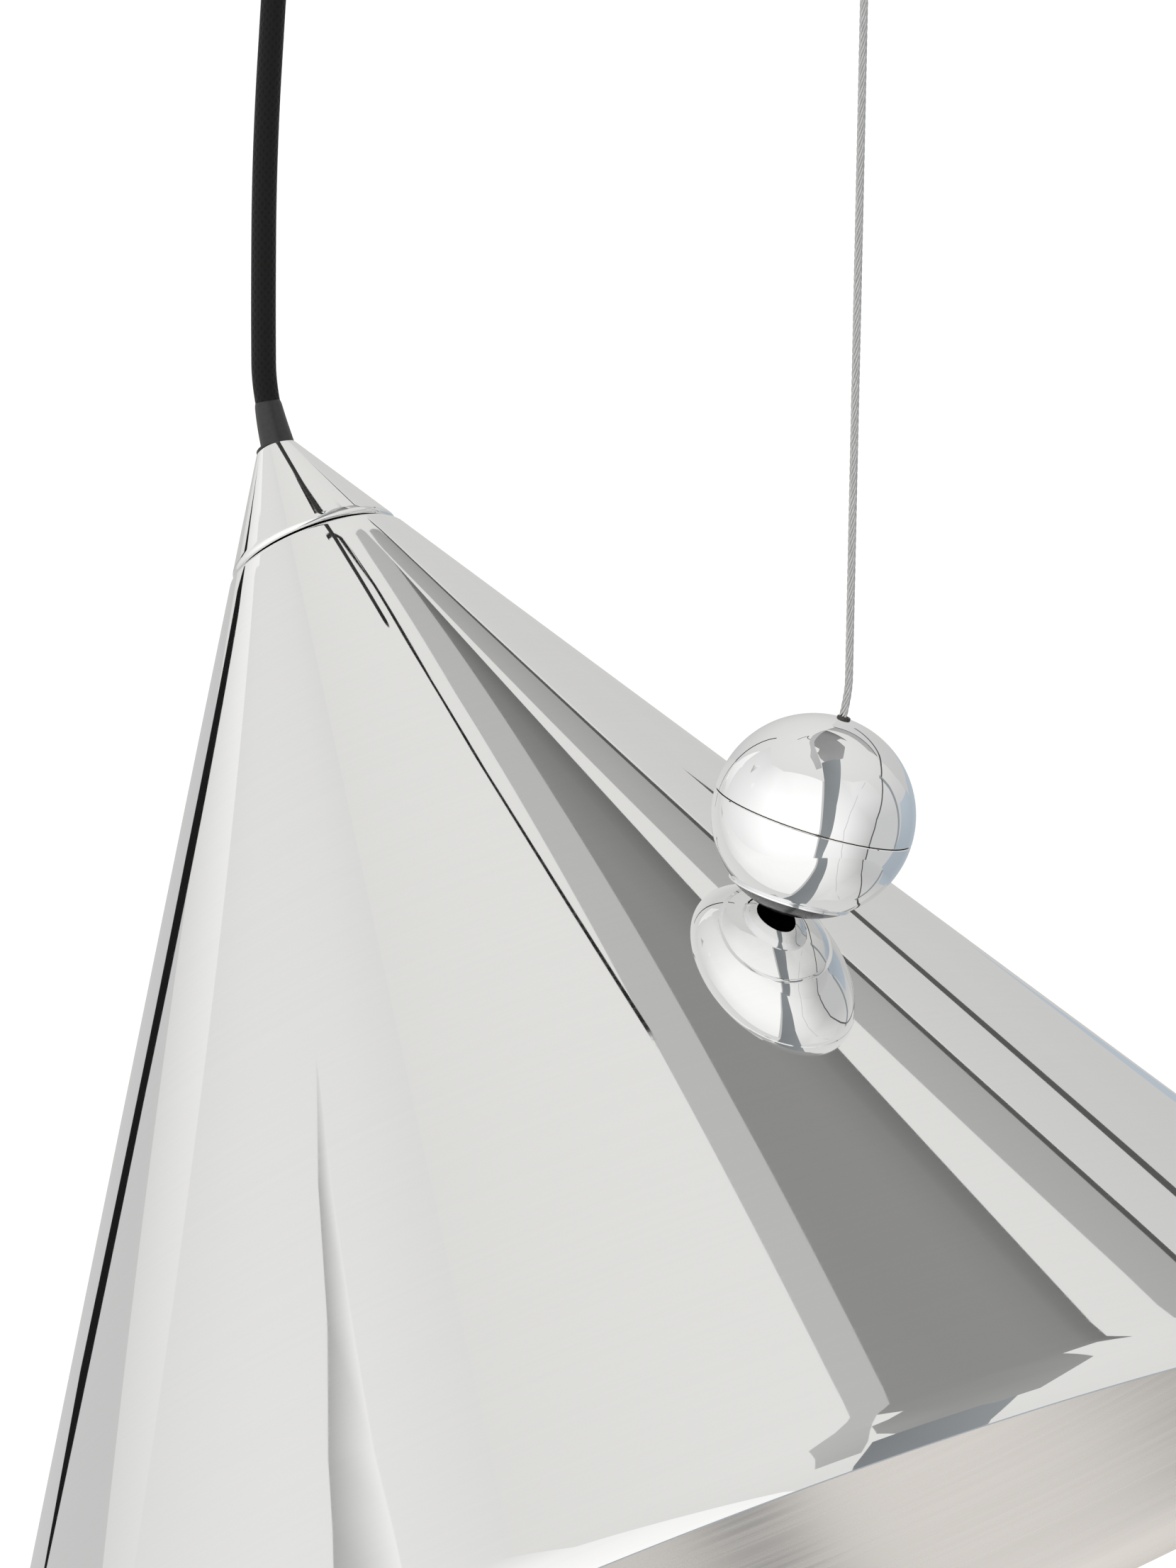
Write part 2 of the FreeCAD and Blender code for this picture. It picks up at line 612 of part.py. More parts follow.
JOINT_RING = "sqrt(Layout.inner_ball ^ 2 - Sizes.joint_ring_half ^ 2) - Sizes.thread_clear"
turned("shell_joint_ring", BALL, [
    (f"{JOINT_RING} - Sizes.joint_ring_wall", "Sizes.joint_ring_half"),
    (JOINT_RING, "Sizes.joint_ring_half"),
    (JOINT_RING, "-1 * Sizes.joint_ring_half"),
    (f"{JOINT_RING} - Sizes.joint_ring_wall", "-1 * Sizes.joint_ring_half"),
])

POT_RADIUS = "Sizes.magnet_radius + Sizes.pot_wall"
turned("foot_trim_ring", BALL, [
    (f"{POT_RADIUS} + Sizes.thread_clear", "-1 * Sizes.foot_plane"),
    ("Sizes.trim_radius - Sizes.trim_bevel", "-1 * Sizes.foot_plane"),
    ("Sizes.trim_radius", "-1 * Sizes.trim_bevel - Sizes.foot_plane"),
    ("Sizes.trim_radius", "-1 * Layout.foot_top"),
    (f"{POT_RADIUS} + Sizes.thread_clear", "-1 * Layout.foot_top"),
])

turned("foot_cap", BALL, [
    ("0", "-1 * Layout.magnet_low"),
    ("Sizes.magnet_radius + Sizes.thread_clear", "-1 * Layout.magnet_low"),
    ("Sizes.magnet_radius + Sizes.thread_clear", "-1 * Layout.foot_top"),
    ("sqrt(Sizes.foot_radius ^ 2 - Layout.foot_top ^ 2)", "-1 * Layout.foot_top",
     "-1 * Sizes.foot_radius"),
    ("0", "-1 * Sizes.foot_radius"),
])

turned("magnet_disc", BALL, [
    ("0", "-1 * Layout.magnet_top"),
    ("Sizes.magnet_radius", "-1 * Layout.magnet_top"),
    ("Sizes.magnet_radius", "-1 * Layout.magnet_low"),
    ("0", "-1 * Layout.magnet_low"),
])

turned("magnet_pot", BALL, [
    ("Sizes.rod_radius + Sizes.thread_clear", "-1 * Layout.pot_high"),
    (POT_RADIUS, "-1 * Layout.pot_high"),
    (POT_RADIUS, "-1 * Layout.foot_top"),
    ("Sizes.magnet_radius + Sizes.thread_clear", "-1 * Layout.foot_top"),
    ("Sizes.magnet_radius + Sizes.thread_clear", "-1 * Layout.magnet_top"),
    ("Sizes.rod_radius + Sizes.thread_clear", "-1 * Layout.magnet_top"),
])

turned("tie_rod", BALL, [
    ("0", "Sizes.boss_floor"),
    ("Sizes.rod_radius", "Sizes.boss_floor"),
    ("Sizes.rod_radius", "Sizes.rod_gap - Layout.magnet_top"),
    ("0", "Sizes.rod_gap - Layout.magnet_top"),
])

FERRULE_LOW = "Sizes.boss_high - Sizes.ferrule_flange"
STOP_BORE = "Sizes.stop_radius + Sizes.stop_clear"
turned("wire_boss", BALL, [
    ("Sizes.rod_radius + Sizes.thread_clear", "Sizes.boss_low"),
    ("Sizes.boss_radius", "Sizes.boss_low"),
    ("Sizes.boss_radius", "Sizes.boss_high"),
    (f"{STOP_BORE} + Sizes.thread_clear", "Sizes.boss_high"),
    (f"{STOP_BORE} + Sizes.thread_clear", "Sizes.boss_floor"),
    ("Sizes.rod_radius + Sizes.thread_clear", "Sizes.boss_floor"),
])

turned("wire_ferrule", BALL, [
    ("Sizes.wire_radius + Sizes.wire_clear", FERRULE_LOW),
    (STOP_BORE, FERRULE_LOW),
    (STOP_BORE, "Sizes.boss_high"),
    ("Sizes.ferrule_radius", "Sizes.boss_high"),
    ("Sizes.ferrule_radius", "Sizes.ball_radius + Sizes.ferrule_proud"),
    ("Sizes.wire_radius + Sizes.wire_clear", "Sizes.ball_radius + Sizes.ferrule_proud"),
])

turned("wire_stop", BALL, [
    ("Sizes.wire_radius", f"{FERRULE_LOW} - Sizes.stop_gap"),
    ("Sizes.stop_radius", f"{FERRULE_LOW} - Sizes.stop_gap"),
    ("Sizes.stop_radius", f"{FERRULE_LOW} - Sizes.stop_gap - Sizes.stop_length"),
    ("Sizes.wire_radius", f"{FERRULE_LOW} - Sizes.stop_gap - Sizes.stop_length"),
])

# ---- gripper and its two-way link, below the canopy ----------------------------------------

EAR = "Sizes.ear_radius"


def fork(name, along, pivot, direction, web, swing_side):
    """Two ears round a pin: a rounded lug, slotted for the tongue that swings in it. direction is
    1 where the lug's solid end is above the pin, and -1 where it is below."""
    half_x, half_y = (EAR, "Sizes.ear_half") if swing_side == "Y" else ("Sizes.ear_half", EAR)
    low = f"-1 * {pivot}" if direction > 0 else f"-1 * {pivot} - {web}"
    lug = block(name + "_lug", WIRE, f"2 * {half_x}", f"2 * {half_y}", web,
                f"-1 * {half_x}", f"-1 * {half_y}", low)
    if swing_side == "Y":
        eye = cylinder(name + "_eye", WIRE, EAR, "2 * Sizes.ear_half",
                       y="-1 * Sizes.ear_half", z=f"-1 * {pivot}", turn=ALONG_Y)
        hole = cylinder(name + "_hole", WIRE, "Sizes.pin_radius + Sizes.pin_clear", "40",
                        y="-20", z=f"-1 * {pivot}", turn=ALONG_Y)
    else:
        eye = cylinder(name + "_eye", WIRE, EAR, "2 * Sizes.ear_half",
                       x="-1 * Sizes.ear_half", z=f"-1 * {pivot}", turn=ALONG_X)
        hole = cylinder(name + "_hole", WIRE, "Sizes.pin_radius + Sizes.pin_clear", "40",
                        x="-20", z=f"-1 * {pivot}", turn=ALONG_X)
    slot_x, slot_y = ("20", "Sizes.tongue_half + Sizes.fork_gap")
    if swing_side == "X":
        slot_x, slot_y = slot_y, slot_x
    slot_low = f"-1 * {pivot} - 10" if direction > 0 else f"0.3 - {pivot} - {web}"
    slot = block(name + "_slot", WIRE, f"2 * ({slot_x})", f"2 * ({slot_y})",
                 f"10 + {web} - 0.3", f"-1 * ({slot_x})", f"-1 * ({slot_y})", slot_low)
    return [lug, eye] + along, [slot, hole]


stud = cylinder("hanger_stud", WIRE, "Sizes.pin_radius * 2",
                "Sizes.pivot_one - Sizes.fork_web - Sizes.plate_thick",
                z="Sizes.fork_web - Sizes.pivot_one")
solids, cuts = fork("upper_fork", [stud], "Sizes.pivot_one", 1, "Sizes.fork_web", "Y")
node(cut("wire_hanger", joined("upper_fork_solid", solids), cuts), "wire_hanger")

link_parts = [
    block("link_upper", WIRE, "Sizes.link_width", "2 * Sizes.tongue_half",
          "Sizes.link_nose + Sizes.link_end", "Sizes.link_width / -2",
          "-1 * Sizes.tongue_half", "-1 * Sizes.link_nose - Sizes.pivot_one"),
    block("link_middle", WIRE, "Sizes.link_width", "Sizes.link_width", "2",
          "Sizes.link_width / -2", "Sizes.link_width / -2", "-6.5 - Sizes.pivot_one"),
    block("link_lower", WIRE, "2 * Sizes.tongue_half", "Sizes.link_width",
          "Sizes.link_nose + Sizes.link_end", "-1 * Sizes.tongue_half",
          "Sizes.link_width / -2", "-1 * Sizes.link_end - Sizes.pivot_two"),
]
link_holes = [
    cylinder("link_hole_upper", WIRE, "Sizes.pin_radius", "20", y="-10",
             z="-1 * Sizes.pivot_one", turn=ALONG_Y),
    cylinder("link_hole_lower", WIRE, "Sizes.pin_radius", "20", x="-10",
             z="-1 * Sizes.pivot_two", turn=ALONG_X),
]
node(cut("swivel_link", joined("link_solid", link_parts), link_holes), "swivel_link")

group("link_pins", [
    cylinder("pin_upper", WIRE, "Sizes.pin_radius", "2 * (Sizes.ear_half + Sizes.pin_over)",
             y="-1 * Sizes.pin_over - Sizes.ear_half", z="-1 * Sizes.pivot_one", turn=ALONG_Y),
    cylinder("pin_lower", WIRE, "Sizes.pin_radius", "2 * (Sizes.ear_half + Sizes.pin_over)",
             x="-1 * Sizes.pin_over - Sizes.ear_half", z="-1 * Sizes.pivot_two", turn=ALONG_X),
])

COLLET_RADIUS = "Sizes.grip_radius - Sizes.grip_wall"
grip = cylinder("grip_barrel", WIRE, "Sizes.grip_radius", "Sizes.grip_length + 1.5",
                z="-1 * Layout.grip_low")
solids, cuts = fork("lower_fork", [grip], "Sizes.pivot_two", -1, "Sizes.fork_web", "X")
cuts.append(cylinder("grip_chamber", WIRE, COLLET_RADIUS,
                     "Sizes.grip_length - Sizes.grip_floor - Sizes.grip_roof",
                     z="Sizes.grip_floor - Layout.grip_low"))
cuts.append(cylinder("grip_mouth", WIRE, "Sizes.plunger_radius + Sizes.thread_clear", "4",
                     z="-1 - Layout.grip_low"))
node(cut("gripper_body", joined("lower_fork_solid", solids), cuts), "gripper_body")

turned("gripper_collet", WIRE, [
    ("Sizes.wire_radius", "Sizes.collet_low - Layout.grip_low"),
    (f"{COLLET_RADIUS} - Sizes.grip_wall", "Sizes.collet_low - Layout.grip_low"),
    (f"{COLLET_RADIUS} - 0.1", "Sizes.collet_high - Layout.grip_low"),
    ("Sizes.wire_radius", "Sizes.collet_high - Layout.grip_low"),
])

turned("gripper_plunger", WIRE, [
    ("Sizes.wire_radius + Sizes.wire_clear", "3.2 - Layout.grip_low"),
    (f"{COLLET_RADIUS} - 0.1", "3.2 - Layout.grip_low"),
    (f"{COLLET_RADIUS} - 0.1", "2.1 - Layout.grip_low"),
    ("Sizes.plunger_radius", "2.1 - Layout.grip_low"),
    ("Sizes.plunger_radius", "-1 * Layout.grip_low - Sizes.plunger_out"),
    ("Sizes.wire_radius + Sizes.wire_clear", "-1 * Layout.grip_low - Sizes.plunger_out"),
])


def spring(name, radius, wire, low, length, turns):
    """A round-wire helix about the wire's line."""
    helix = Part.makeHelix(length / turns, length, radius)
    ring = Part.Wire(Part.makeCircle(wire, FreeCAD.Vector(radius, 0, 0),
                                     FreeCAD.Vector(0, 1, 0)))
    coil = document.addObject("Part::Feature", name)
    coil.Shape = Part.Wire(helix).makePipeShell([ring], True, True)
    return place(coil, WIRE, z=low)


node(spring("gripper_spring", SIZES["spring_radius"], SIZES["spring_wire"],
            "Sizes.spring_low - Layout.grip_low", SIZES["spring_length"],
            SIZES["spring_turns"]), "gripper_spring")

# ---- canopy --------------------------------------------------------------------------------

PLATE_LENGTH = "Layout.span + 2 * Sizes.plate_over"


def slot_shape(name, length, width, height, low):
    """A flat bar with half-round ends, centred on the origin along X."""
    run = f"({length} - {width}) / 2"
    return joined(name, [
        block(name + "_bar", ROW, f"2 * ({run})", width, height, f"-1 * ({run})",
              f"-1 * {width} / 2", low),
        cylinder(name + "_end0", ROW, f"{width} / 2", height, x=f"-1 * ({run})", z=low),
        cylinder(name + "_end1", ROW, f"{width} / 2", height, x=run, z=low),
    ])


plate = slot_shape("plate_shape", PLATE_LENGTH, "Sizes.plate_width", "Sizes.plate_thick",
                   "-1 * Sizes.plate_thick")
plate_cuts = []
pillars = []
screws = []
for side in (-1, 1):
    middle = f"{side} * Sizes.slot_spacing / 2"
    half = "(Sizes.slot_length / 2 - Sizes.slot_radius)"
    plate_cuts.append(block(f"slot_bar{side + 1}", ROW, f"2 * {half}", "2 * Sizes.slot_radius",
                            "20", f"{middle} - {half}", "-1 * Sizes.slot_radius", "-10"))
    for end in (-1, 1):
        plate_cuts.append(cylinder(f"slot_end{side + 1}{end + 1}", ROW, "Sizes.slot_radius", "20",
                                   x=f"{middle} + {end} * {half}", z="-10"))
    spot = f"{side} * Sizes.pillar_spacing / 2"
    post = cylinder(f"pillar_post{side + 1}", ROW, "Sizes.pillar_radius",
                    "Sizes.cover_depth - Sizes.cover_wall - Sizes.plate_thick", x=spot,
                    z="Sizes.cover_wall - Sizes.cover_depth")
    tapped = cylinder(f"pillar_hole{side + 1}", ROW, "Sizes.screw_radius + Sizes.thread_clear",
                      "12", x=spot, z="-1 - Sizes.cover_depth")
    pillars.append(cut(f"pillar{side + 1}", post, [tapped]))
    shank = cylinder(f"screw_shank{side + 1}", ROW, "Sizes.screw_radius", "9", x=spot,
                     z="-1 * Sizes.cover_depth")
    head = cylinder(f"screw_head{side + 1}", ROW, "Sizes.screw_head", "Sizes.screw_head_thick",
                    x=spot, z="-1 * Sizes.cover_depth - Sizes.screw_head_thick")
    screws.append(joined(f"cover_screw{side + 1}", [shank, head]))
node(cut("ceiling_plate", plate, plate_cuts), "ceiling_plate")
group("cover_pillars", pillars)
group("cover_screws", screws)

cover_length = "Layout.span + 2 * Sizes.cover_over"
shell_outer = slot_shape("cover_outer", cover_length, "Sizes.cover_width",
                         "Sizes.cover_depth - Sizes.cover_gap", "-1 * Sizes.cover_depth")
shell_inner = slot_shape("cover_inner", f"({cover_length} - 2 * Sizes.cover_wall)",
                         "(Sizes.cover_width - 2 * Sizes.cover_wall)", "Sizes.cover_depth",
                         "Sizes.cover_wall - Sizes.cover_depth")
cover_cuts = [
    shell_inner,
    cylinder("cover_wire_hole", WIRE, "Sizes.wire_hole", "10", z="-5 - Sizes.cover_depth"),
    cylinder("cover_cord_hole", CORD, "Sizes.bush_radius - Sizes.bush_lip", "10",
             z="-5 - Sizes.cover_depth"),
]
for side in (-1, 1):
    cover_cuts.append(cylinder(f"cover_screw_hole{side + 1}", ROW, "Sizes.screw_radius + 0.1",
                               "10", x=f"{side} * Sizes.pillar_spacing / 2",
                               z="-5 - Sizes.cover_depth"))
node(cut("canopy_cover", shell_outer, cover_cuts), "canopy_cover")

turned("cord_bush", CORD, [
    ("Sizes.bush_bore", "Sizes.bush_lip + Sizes.cover_wall - Sizes.cover_depth"),
    ("Sizes.bush_radius", "Sizes.bush_lip + Sizes.cover_wall - Sizes.cover_depth"),
    ("Sizes.bush_radius", "Sizes.cover_wall - Sizes.cover_depth"),
    ("Sizes.bush_radius - Sizes.bush_lip", "Sizes.cover_wall - Sizes.cover_depth"),
    ("Sizes.bush_radius - Sizes.bush_lip", "-1 * Sizes.cover_depth"),
    ("Sizes.bush_radius", "-1 * Sizes.cover_depth"),
    ("Sizes.bush_radius - Sizes.bush_bevel", "-1 * Sizes.bush_lip - Sizes.cover_depth"),
    ("Sizes.bush_bore", "-1 * Sizes.bush_lip - Sizes.cover_depth"),
])

# Cord clamp: an angle bracket under the plate, and a saddle screwed to it across the cord.
CLAMP_X = "-1 * Sizes.cord_radius - Sizes.bracket_thick"
CLAMP_Z = "Sizes.clamp_up - Sizes.bracket_low"
CLAMP_HOLE = "Sizes.clamp_radius + Sizes.thread_clear"
foot = block("bracket_foot", CORD, "Sizes.bracket_foot", "Sizes.bracket_width", "Sizes.bracket_thick",
             f"{CLAMP_X} - Sizes.bracket_foot + Sizes.bracket_thick", "-1 * Sizes.bracket_width / 2",
             "-1 * Sizes.plate_thick - Sizes.bracket_thick")
leaf = block("bracket_leaf", CORD, "Sizes.bracket_thick", "Sizes.bracket_width",
             "Sizes.bracket_low - Sizes.plate_thick", CLAMP_X, "-1 * Sizes.bracket_width / 2",
             "-1 * Sizes.bracket_low")
leaf_holes = []
clamp_screws = []
for side in (-1, 1):
    spot = f"{side} * Sizes.clamp_half"
    leaf_holes.append(cylinder(f"leaf_hole{side + 1}", CORD, CLAMP_HOLE, "40", x="-30",
                               y=spot, z=CLAMP_Z, turn=ALONG_X))
    shank = cylinder(f"clamp_shank{side + 1}", CORD, "Sizes.clamp_radius",
                     "Sizes.bracket_thick + Sizes.saddle_thick", x=CLAMP_X, y=spot,
                     z=CLAMP_Z, turn=ALONG_X)
    head = cylinder(f"clamp_head{side + 1}", CORD, "Sizes.clamp_head", "Sizes.clamp_head_thick",
                    x=f"{CLAMP_X} + Sizes.bracket_thick + Sizes.saddle_thick", y=spot,
                    z=CLAMP_Z, turn=ALONG_X)
    clamp_screws.append(joined(f"clamp_screw{side + 1}", [shank, head]))
node(cut("cord_bracket", joined("bracket_solid", [foot, leaf]), leaf_holes), "cord_bracket")
group("clamp_screws", clamp_screws)

saddle_bar = block("saddle_bar", CORD, "Sizes.saddle_thick", "2 * Sizes.saddle_half",
                   "Sizes.saddle_height", "-1 * Sizes.cord_radius", "-1 * Sizes.saddle_half",
                   "1 - Sizes.bracket_low")
saddle_bow = cylinder("saddle_bow", CORD, "Sizes.cord_radius + Sizes.saddle_wall", "Sizes.saddle_height",
                      z="1 - Sizes.bracket_low")
saddle_half = block("saddle_half", CORD, "20", "24", "12", "-20 - Sizes.cord_radius", "-12",
                    "-1 - Sizes.bracket_low")
saddle_bore = cylinder("saddle_bore", CORD, "Sizes.cord_radius + 0.02", "20",
                       z="-5 - Sizes.bracket_low")
saddle_screw_holes = [
    cylinder(f"saddle_hole{side + 1}", CORD, CLAMP_HOLE, "40", x="-30",
             y=f"{side} * Sizes.clamp_half", z=CLAMP_Z, turn=ALONG_X) for side in (-1, 1)]
node(cut("cord_saddle", joined("saddle_solid", [saddle_bar, saddle_bow]),
         [saddle_bore, saddle_half] + saddle_screw_holes), "cord_saddle")

# Terminal block beside the clamp, with its screws.
BLOCK_X = "Layout.cord_x + 8"
terminal_body = block("terminal_body", ROW, "Sizes.block_length", "Sizes.block_width",
                      "Sizes.block_height", BLOCK_X, "-1 * Sizes.block_width / 2",
                      "-1 * Sizes.plate_thick - Sizes.block_height")
block_holes = []
block_screws = []
for step in range(3):
    across = f"{BLOCK_X} + Sizes.block_length * {2 * step + 1} / 6"
    for side in (-1, 1):
        tag = f"{step}{side + 1}"
        aside = f"{side} * Sizes.block_width / 4"
        low = "-1 * Sizes.plate_thick - Sizes.block_height"
        block_holes.append(cylinder(f"block_hole{tag}", ROW, "Sizes.block_screw + 0.1", "7",
                                    x=across, y=aside, z=f"{low} - 1"))
        block_screws.append(cylinder(f"block_screw{tag}", ROW, "Sizes.block_screw", "4",
                                     x=across, y=aside, z=f"{low} + 2"))
node(cut("terminal_block", terminal_body, block_holes), "terminal_block")
group("block_screws", block_screws)

# ---- cord, boot, leads and wire ------------------------------------------------------------


def round_route(points):
    """Straight runs joined by tangent arcs, each as large as its two runs allow."""
    edges = []
    start = points[0]
    for before, corner, after in zip(points, points[1:], points[2:]):
        back, ahead = before - corner, after - corner
        half_turn = (math.pi - back.getAngle(ahead)) / 2
        reach = 0.45 * min(back.Length, ahead.Length)
        radius = reach / math.tan(half_turn)
        back.normalize()
        ahead.normalize()
        begin, end = corner + back * reach, corner + ahead * reach
        inward = (back + ahead).normalize()
        middle = corner + inward * (radius / math.cos(half_turn) - radius)
        edges.append(Part.LineSegment(start, begin).toShape())
        edges.append(Part.Arc(begin, middle, end).toShape())
        print(f"bend radius {radius:.1f} mm, turn {math.degrees(2 * half_turn):.1f} degrees")
        start = end
    edges.append(Part.LineSegment(start, points[-1]).toShape())
    return Part.Wire(edges)


def tube(points, radius):
    """A round tube along a route, checked against its section times its length."""
    route = round_route(points) if len(points) > 2 else Part.Wire(
        [Part.LineSegment(*points).toShape()])
    along = (points[1] - points[0]).normalize()
    ring = Part.Wire(Part.makeCircle(radius, points[0], along))
    solid = route.makePipeShell([ring], True, True)
    print(f"route {route.Length:.1f} mm,"
          f" volume ratio {solid.Volume / (math.pi * radius ** 2 * route.Length):.4f}")
    return solid


def feature(name, shape):
    thing = document.addObject("Part::Feature", name)
    thing.Shape = shape
    return node(thing, name)


document.recompute()
size = {name: number(f"Sizes.{name}") for name in SIZES}
spot = {name: number(f"Layout.{name}") for name in LAYOUT}
head_frame = FreeCAD.Placement(
    FreeCAD.Vector(spot["apex_x"], spot["apex_y"], spot["apex_z"]),
    FreeCAD.Rotation(FreeCAD.Vector(0, 0, 1), -spot["plane_turn"])
    * FreeCAD.Rotation(FreeCAD.Vector(0, 1, 0), -size["shade_tilt"]))
apex = head_frame.Base


def on_axis(depth, aside=0.0):
    """A point inside the head, at a depth below the apex."""
    return head_frame.multVec(FreeCAD.Vector(aside, 0, -depth))


cord_route = [
    on_axis(size["sheath_end"]),
    apex,
    FreeCAD.Vector(spot["cord_x"] - 3.2, -3.6, spot["apex_z"] + 30),
    FreeCAD.Vector(spot["cord_x"] - 3.1, -3.5, spot["apex_z"] + 72),
    FreeCAD.Vector(spot["cord_x"] - 1.4, -1.6, spot["apex_z"] + 118),
    FreeCAD.Vector(spot["cord_x"], 0, spot["apex_z"] + 158),
    FreeCAD.Vector(spot["cord_x"], 0.01, -7),
]
cord = tube(cord_route, size["cord_radius"])
split_height = spot["apex_z"] + size["boot_above"]
below = Part.makeBox(400, 400, 200, FreeCAD.Vector(-300, -200, split_height - 200))
feature("power_cord", cord.cut(below))
feature("cord_tail", cord.common(below))

# The boot: a plug in the tip's bore, then a taper that follows the cord round its bend.
boot_line = round_route(cord_route[:3])
boot_from = on_axis(size["tip_depth"] - size["collar_thick"] - 0.5)
boot_along = [edge for edge in boot_line.Edges if isinstance(edge.Curve, Part.Circle)][0]
first = boot_along.Curve.parameter(boot_from)
stations = 7
rings = []
for step in range(stations):
    share = step / (stations - 1)
    at = first + (boot_along.LastParameter - first) * share * 0.86
    middle = boot_along.valueAt(at)
    heading = boot_along.tangentAt(at)
    radius = size["boot_root"] + (size["boot_end"] - size["boot_root"]) * share
    rings.append(Part.Wire(Part.makeCircle(radius, middle, heading)))
taper = Part.makeLoft(rings, True, False)
axis = head_frame.Rotation.multVec(FreeCAD.Vector(0, 0, 1))
plug = Part.makeCylinder(size["boot_root"], size["stem_top"] - size["tip_depth"] + 0.7,
                         on_axis(size["stem_top"] - 0.6), axis)
bore = tube(cord_route[:3], size["cord_radius"])
boot = taper.fuse(plug).cut(bore).common(below).removeSplitter()
feature("cord_boot", boot)

# Two insulated leads, from the sheath's end down the stem to the terminals.
lead_solids = []
for side in (-1, 1):
    aside = side * (size["lead_radius"] + 0.3)
    lead_solids.append(tube([
        on_axis(size["sheath_end"], aside),
        on_axis(size["stem_end"] + 1.5, aside),
        on_axis(size["core_top"] - 2.2, side * size["terminal_reach"]),
    ], size["lead_radius"]))
feature("lamp_leads", Part.makeCompound(lead_solids))

ball_centre = FreeCAD.Vector(spot["ball_x"], spot["ball_y"], spot["ball_z"])
wire_bend = FreeCAD.Vector(spot["wire_x"], 0, spot["wire_low"])
ball_axis = (wire_bend - ball_centre).normalize()
wire_route = [
    ball_centre + ball_axis * (size["boss_floor"] + 1.2),
    wire_bend,
    FreeCAD.Vector(spot["wire_x"], 0, 12.5 - spot["grip_low"]),
]
feature("suspension_wire", tube(wire_route, size["wire_radius"]))

# ---- checks and export ---------------------------------------------------------------------

document.recompute()
for thing in document.Objects:
    for word in ("Invalid", "Error"):
        if word in thing.State:
            raise RuntimeError(f"{thing.Name} is {thing.State}")
for thing in NODES:
    if thing.Shape.isNull() or not thing.Shape.isValid() or not thing.Shape.Solids:
        raise RuntimeError(f"{thing.Label} has no sound shape")
os.makedirs("parts", exist_ok=True)
for thing in NODES:
    thing.Shape.exportStep(f"parts/{thing.Label}.step")
    print(thing.Label, len(thing.Shape.Solids), f"{thing.Shape.Volume:.0f}")
print(len(NODES), "nodes")
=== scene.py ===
import json
from math import radians

import bpy
import numpy as np
from mathutils import Matrix


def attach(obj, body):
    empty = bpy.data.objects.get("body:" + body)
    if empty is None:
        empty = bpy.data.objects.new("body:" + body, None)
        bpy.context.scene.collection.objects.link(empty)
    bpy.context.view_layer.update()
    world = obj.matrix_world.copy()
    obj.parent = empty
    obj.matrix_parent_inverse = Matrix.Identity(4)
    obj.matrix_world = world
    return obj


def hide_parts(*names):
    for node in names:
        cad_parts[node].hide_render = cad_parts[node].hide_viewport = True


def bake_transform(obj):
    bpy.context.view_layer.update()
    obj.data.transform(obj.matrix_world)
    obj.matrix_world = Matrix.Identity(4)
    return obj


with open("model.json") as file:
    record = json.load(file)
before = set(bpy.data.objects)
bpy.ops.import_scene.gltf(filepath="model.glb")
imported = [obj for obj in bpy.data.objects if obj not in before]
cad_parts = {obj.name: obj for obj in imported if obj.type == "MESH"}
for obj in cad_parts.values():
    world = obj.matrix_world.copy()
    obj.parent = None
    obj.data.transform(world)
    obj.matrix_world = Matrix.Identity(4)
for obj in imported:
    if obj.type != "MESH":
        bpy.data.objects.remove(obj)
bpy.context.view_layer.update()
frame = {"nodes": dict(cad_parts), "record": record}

# ---- Camera --------------------------------------------------------------------------------
# A long lens in front and to the cord's side of the lamp, a little above it, turned upright
# but for a slight roll.
lens = bpy.data.cameras.new("camera")
lens.sensor_width = 36
lens.lens = 130.8
camera = bpy.data.objects.new("camera", lens)
bpy.context.scene.collection.objects.link(camera)
camera.matrix_world = (Matrix.Translation((1.08841, -0.95924, -0.03195))
                       @ Matrix.Rotation(radians(48.185), 4, "Z")
                       @ Matrix.Rotation(radians(90 - 9.584), 4, "X")
                       @ Matrix.Rotation(radians(0.835), 4, "Z"))
bpy.context.scene.camera = camera
bpy.context.scene.view_settings.view_transform = "Standard"

# ---- Studio --------------------------------------------------------------------------------
# A white cove round the lamp, a pale floor below it, and sheets of light and grey card that
# hang out of sight round it, which are what the polished metal shows.
sky = bpy.data.worlds.new("cove")
bpy.context.scene.world = sky
sky.use_nodes = True
sky_nodes, sky_links = sky.node_tree.nodes, sky.node_tree.links
sky_nodes.clear()
sky_out = sky_nodes.new("ShaderNodeOutputWorld")
sky_mix = sky_nodes.new("ShaderNodeMixShader")
sky_path = sky_nodes.new("ShaderNodeLightPath")
sky_white = sky_nodes.new("ShaderNodeBackground")
sky_white.inputs["Color"].default_value = (1, 1, 1, 1)
sky_white.inputs["Strength"].default_value = 1.05
sky_soft = sky_nodes.new("ShaderNodeBackground")
sky_soft.inputs["Strength"].default_value = 1.0
sky_way = sky_nodes.new("ShaderNodeTexCoord")
sky_split = sky_nodes.new("ShaderNodeSeparateXYZ")
sky_ramp = sky_nodes.new("ShaderNodeValToRGB")
for stop, (place, colour) in zip((0, 1), ((0.0, (0.60, 0.60, 0.60, 1)),
                                          (1.0, (0.82, 0.815, 0.80, 1)))):
    sky_ramp.color_ramp.elements[stop].position = place
    sky_ramp.color_ramp.elements[stop].color = colour
level = sky_ramp.color_ramp.elements.new(0.6)
level.color = (0.76, 0.755, 0.74, 1)
sky_links.new(sky_way.outputs["Generated"], sky_split.inputs[0])
sky_links.new(sky_split.outputs["Z"], sky_ramp.inputs["Fac"])
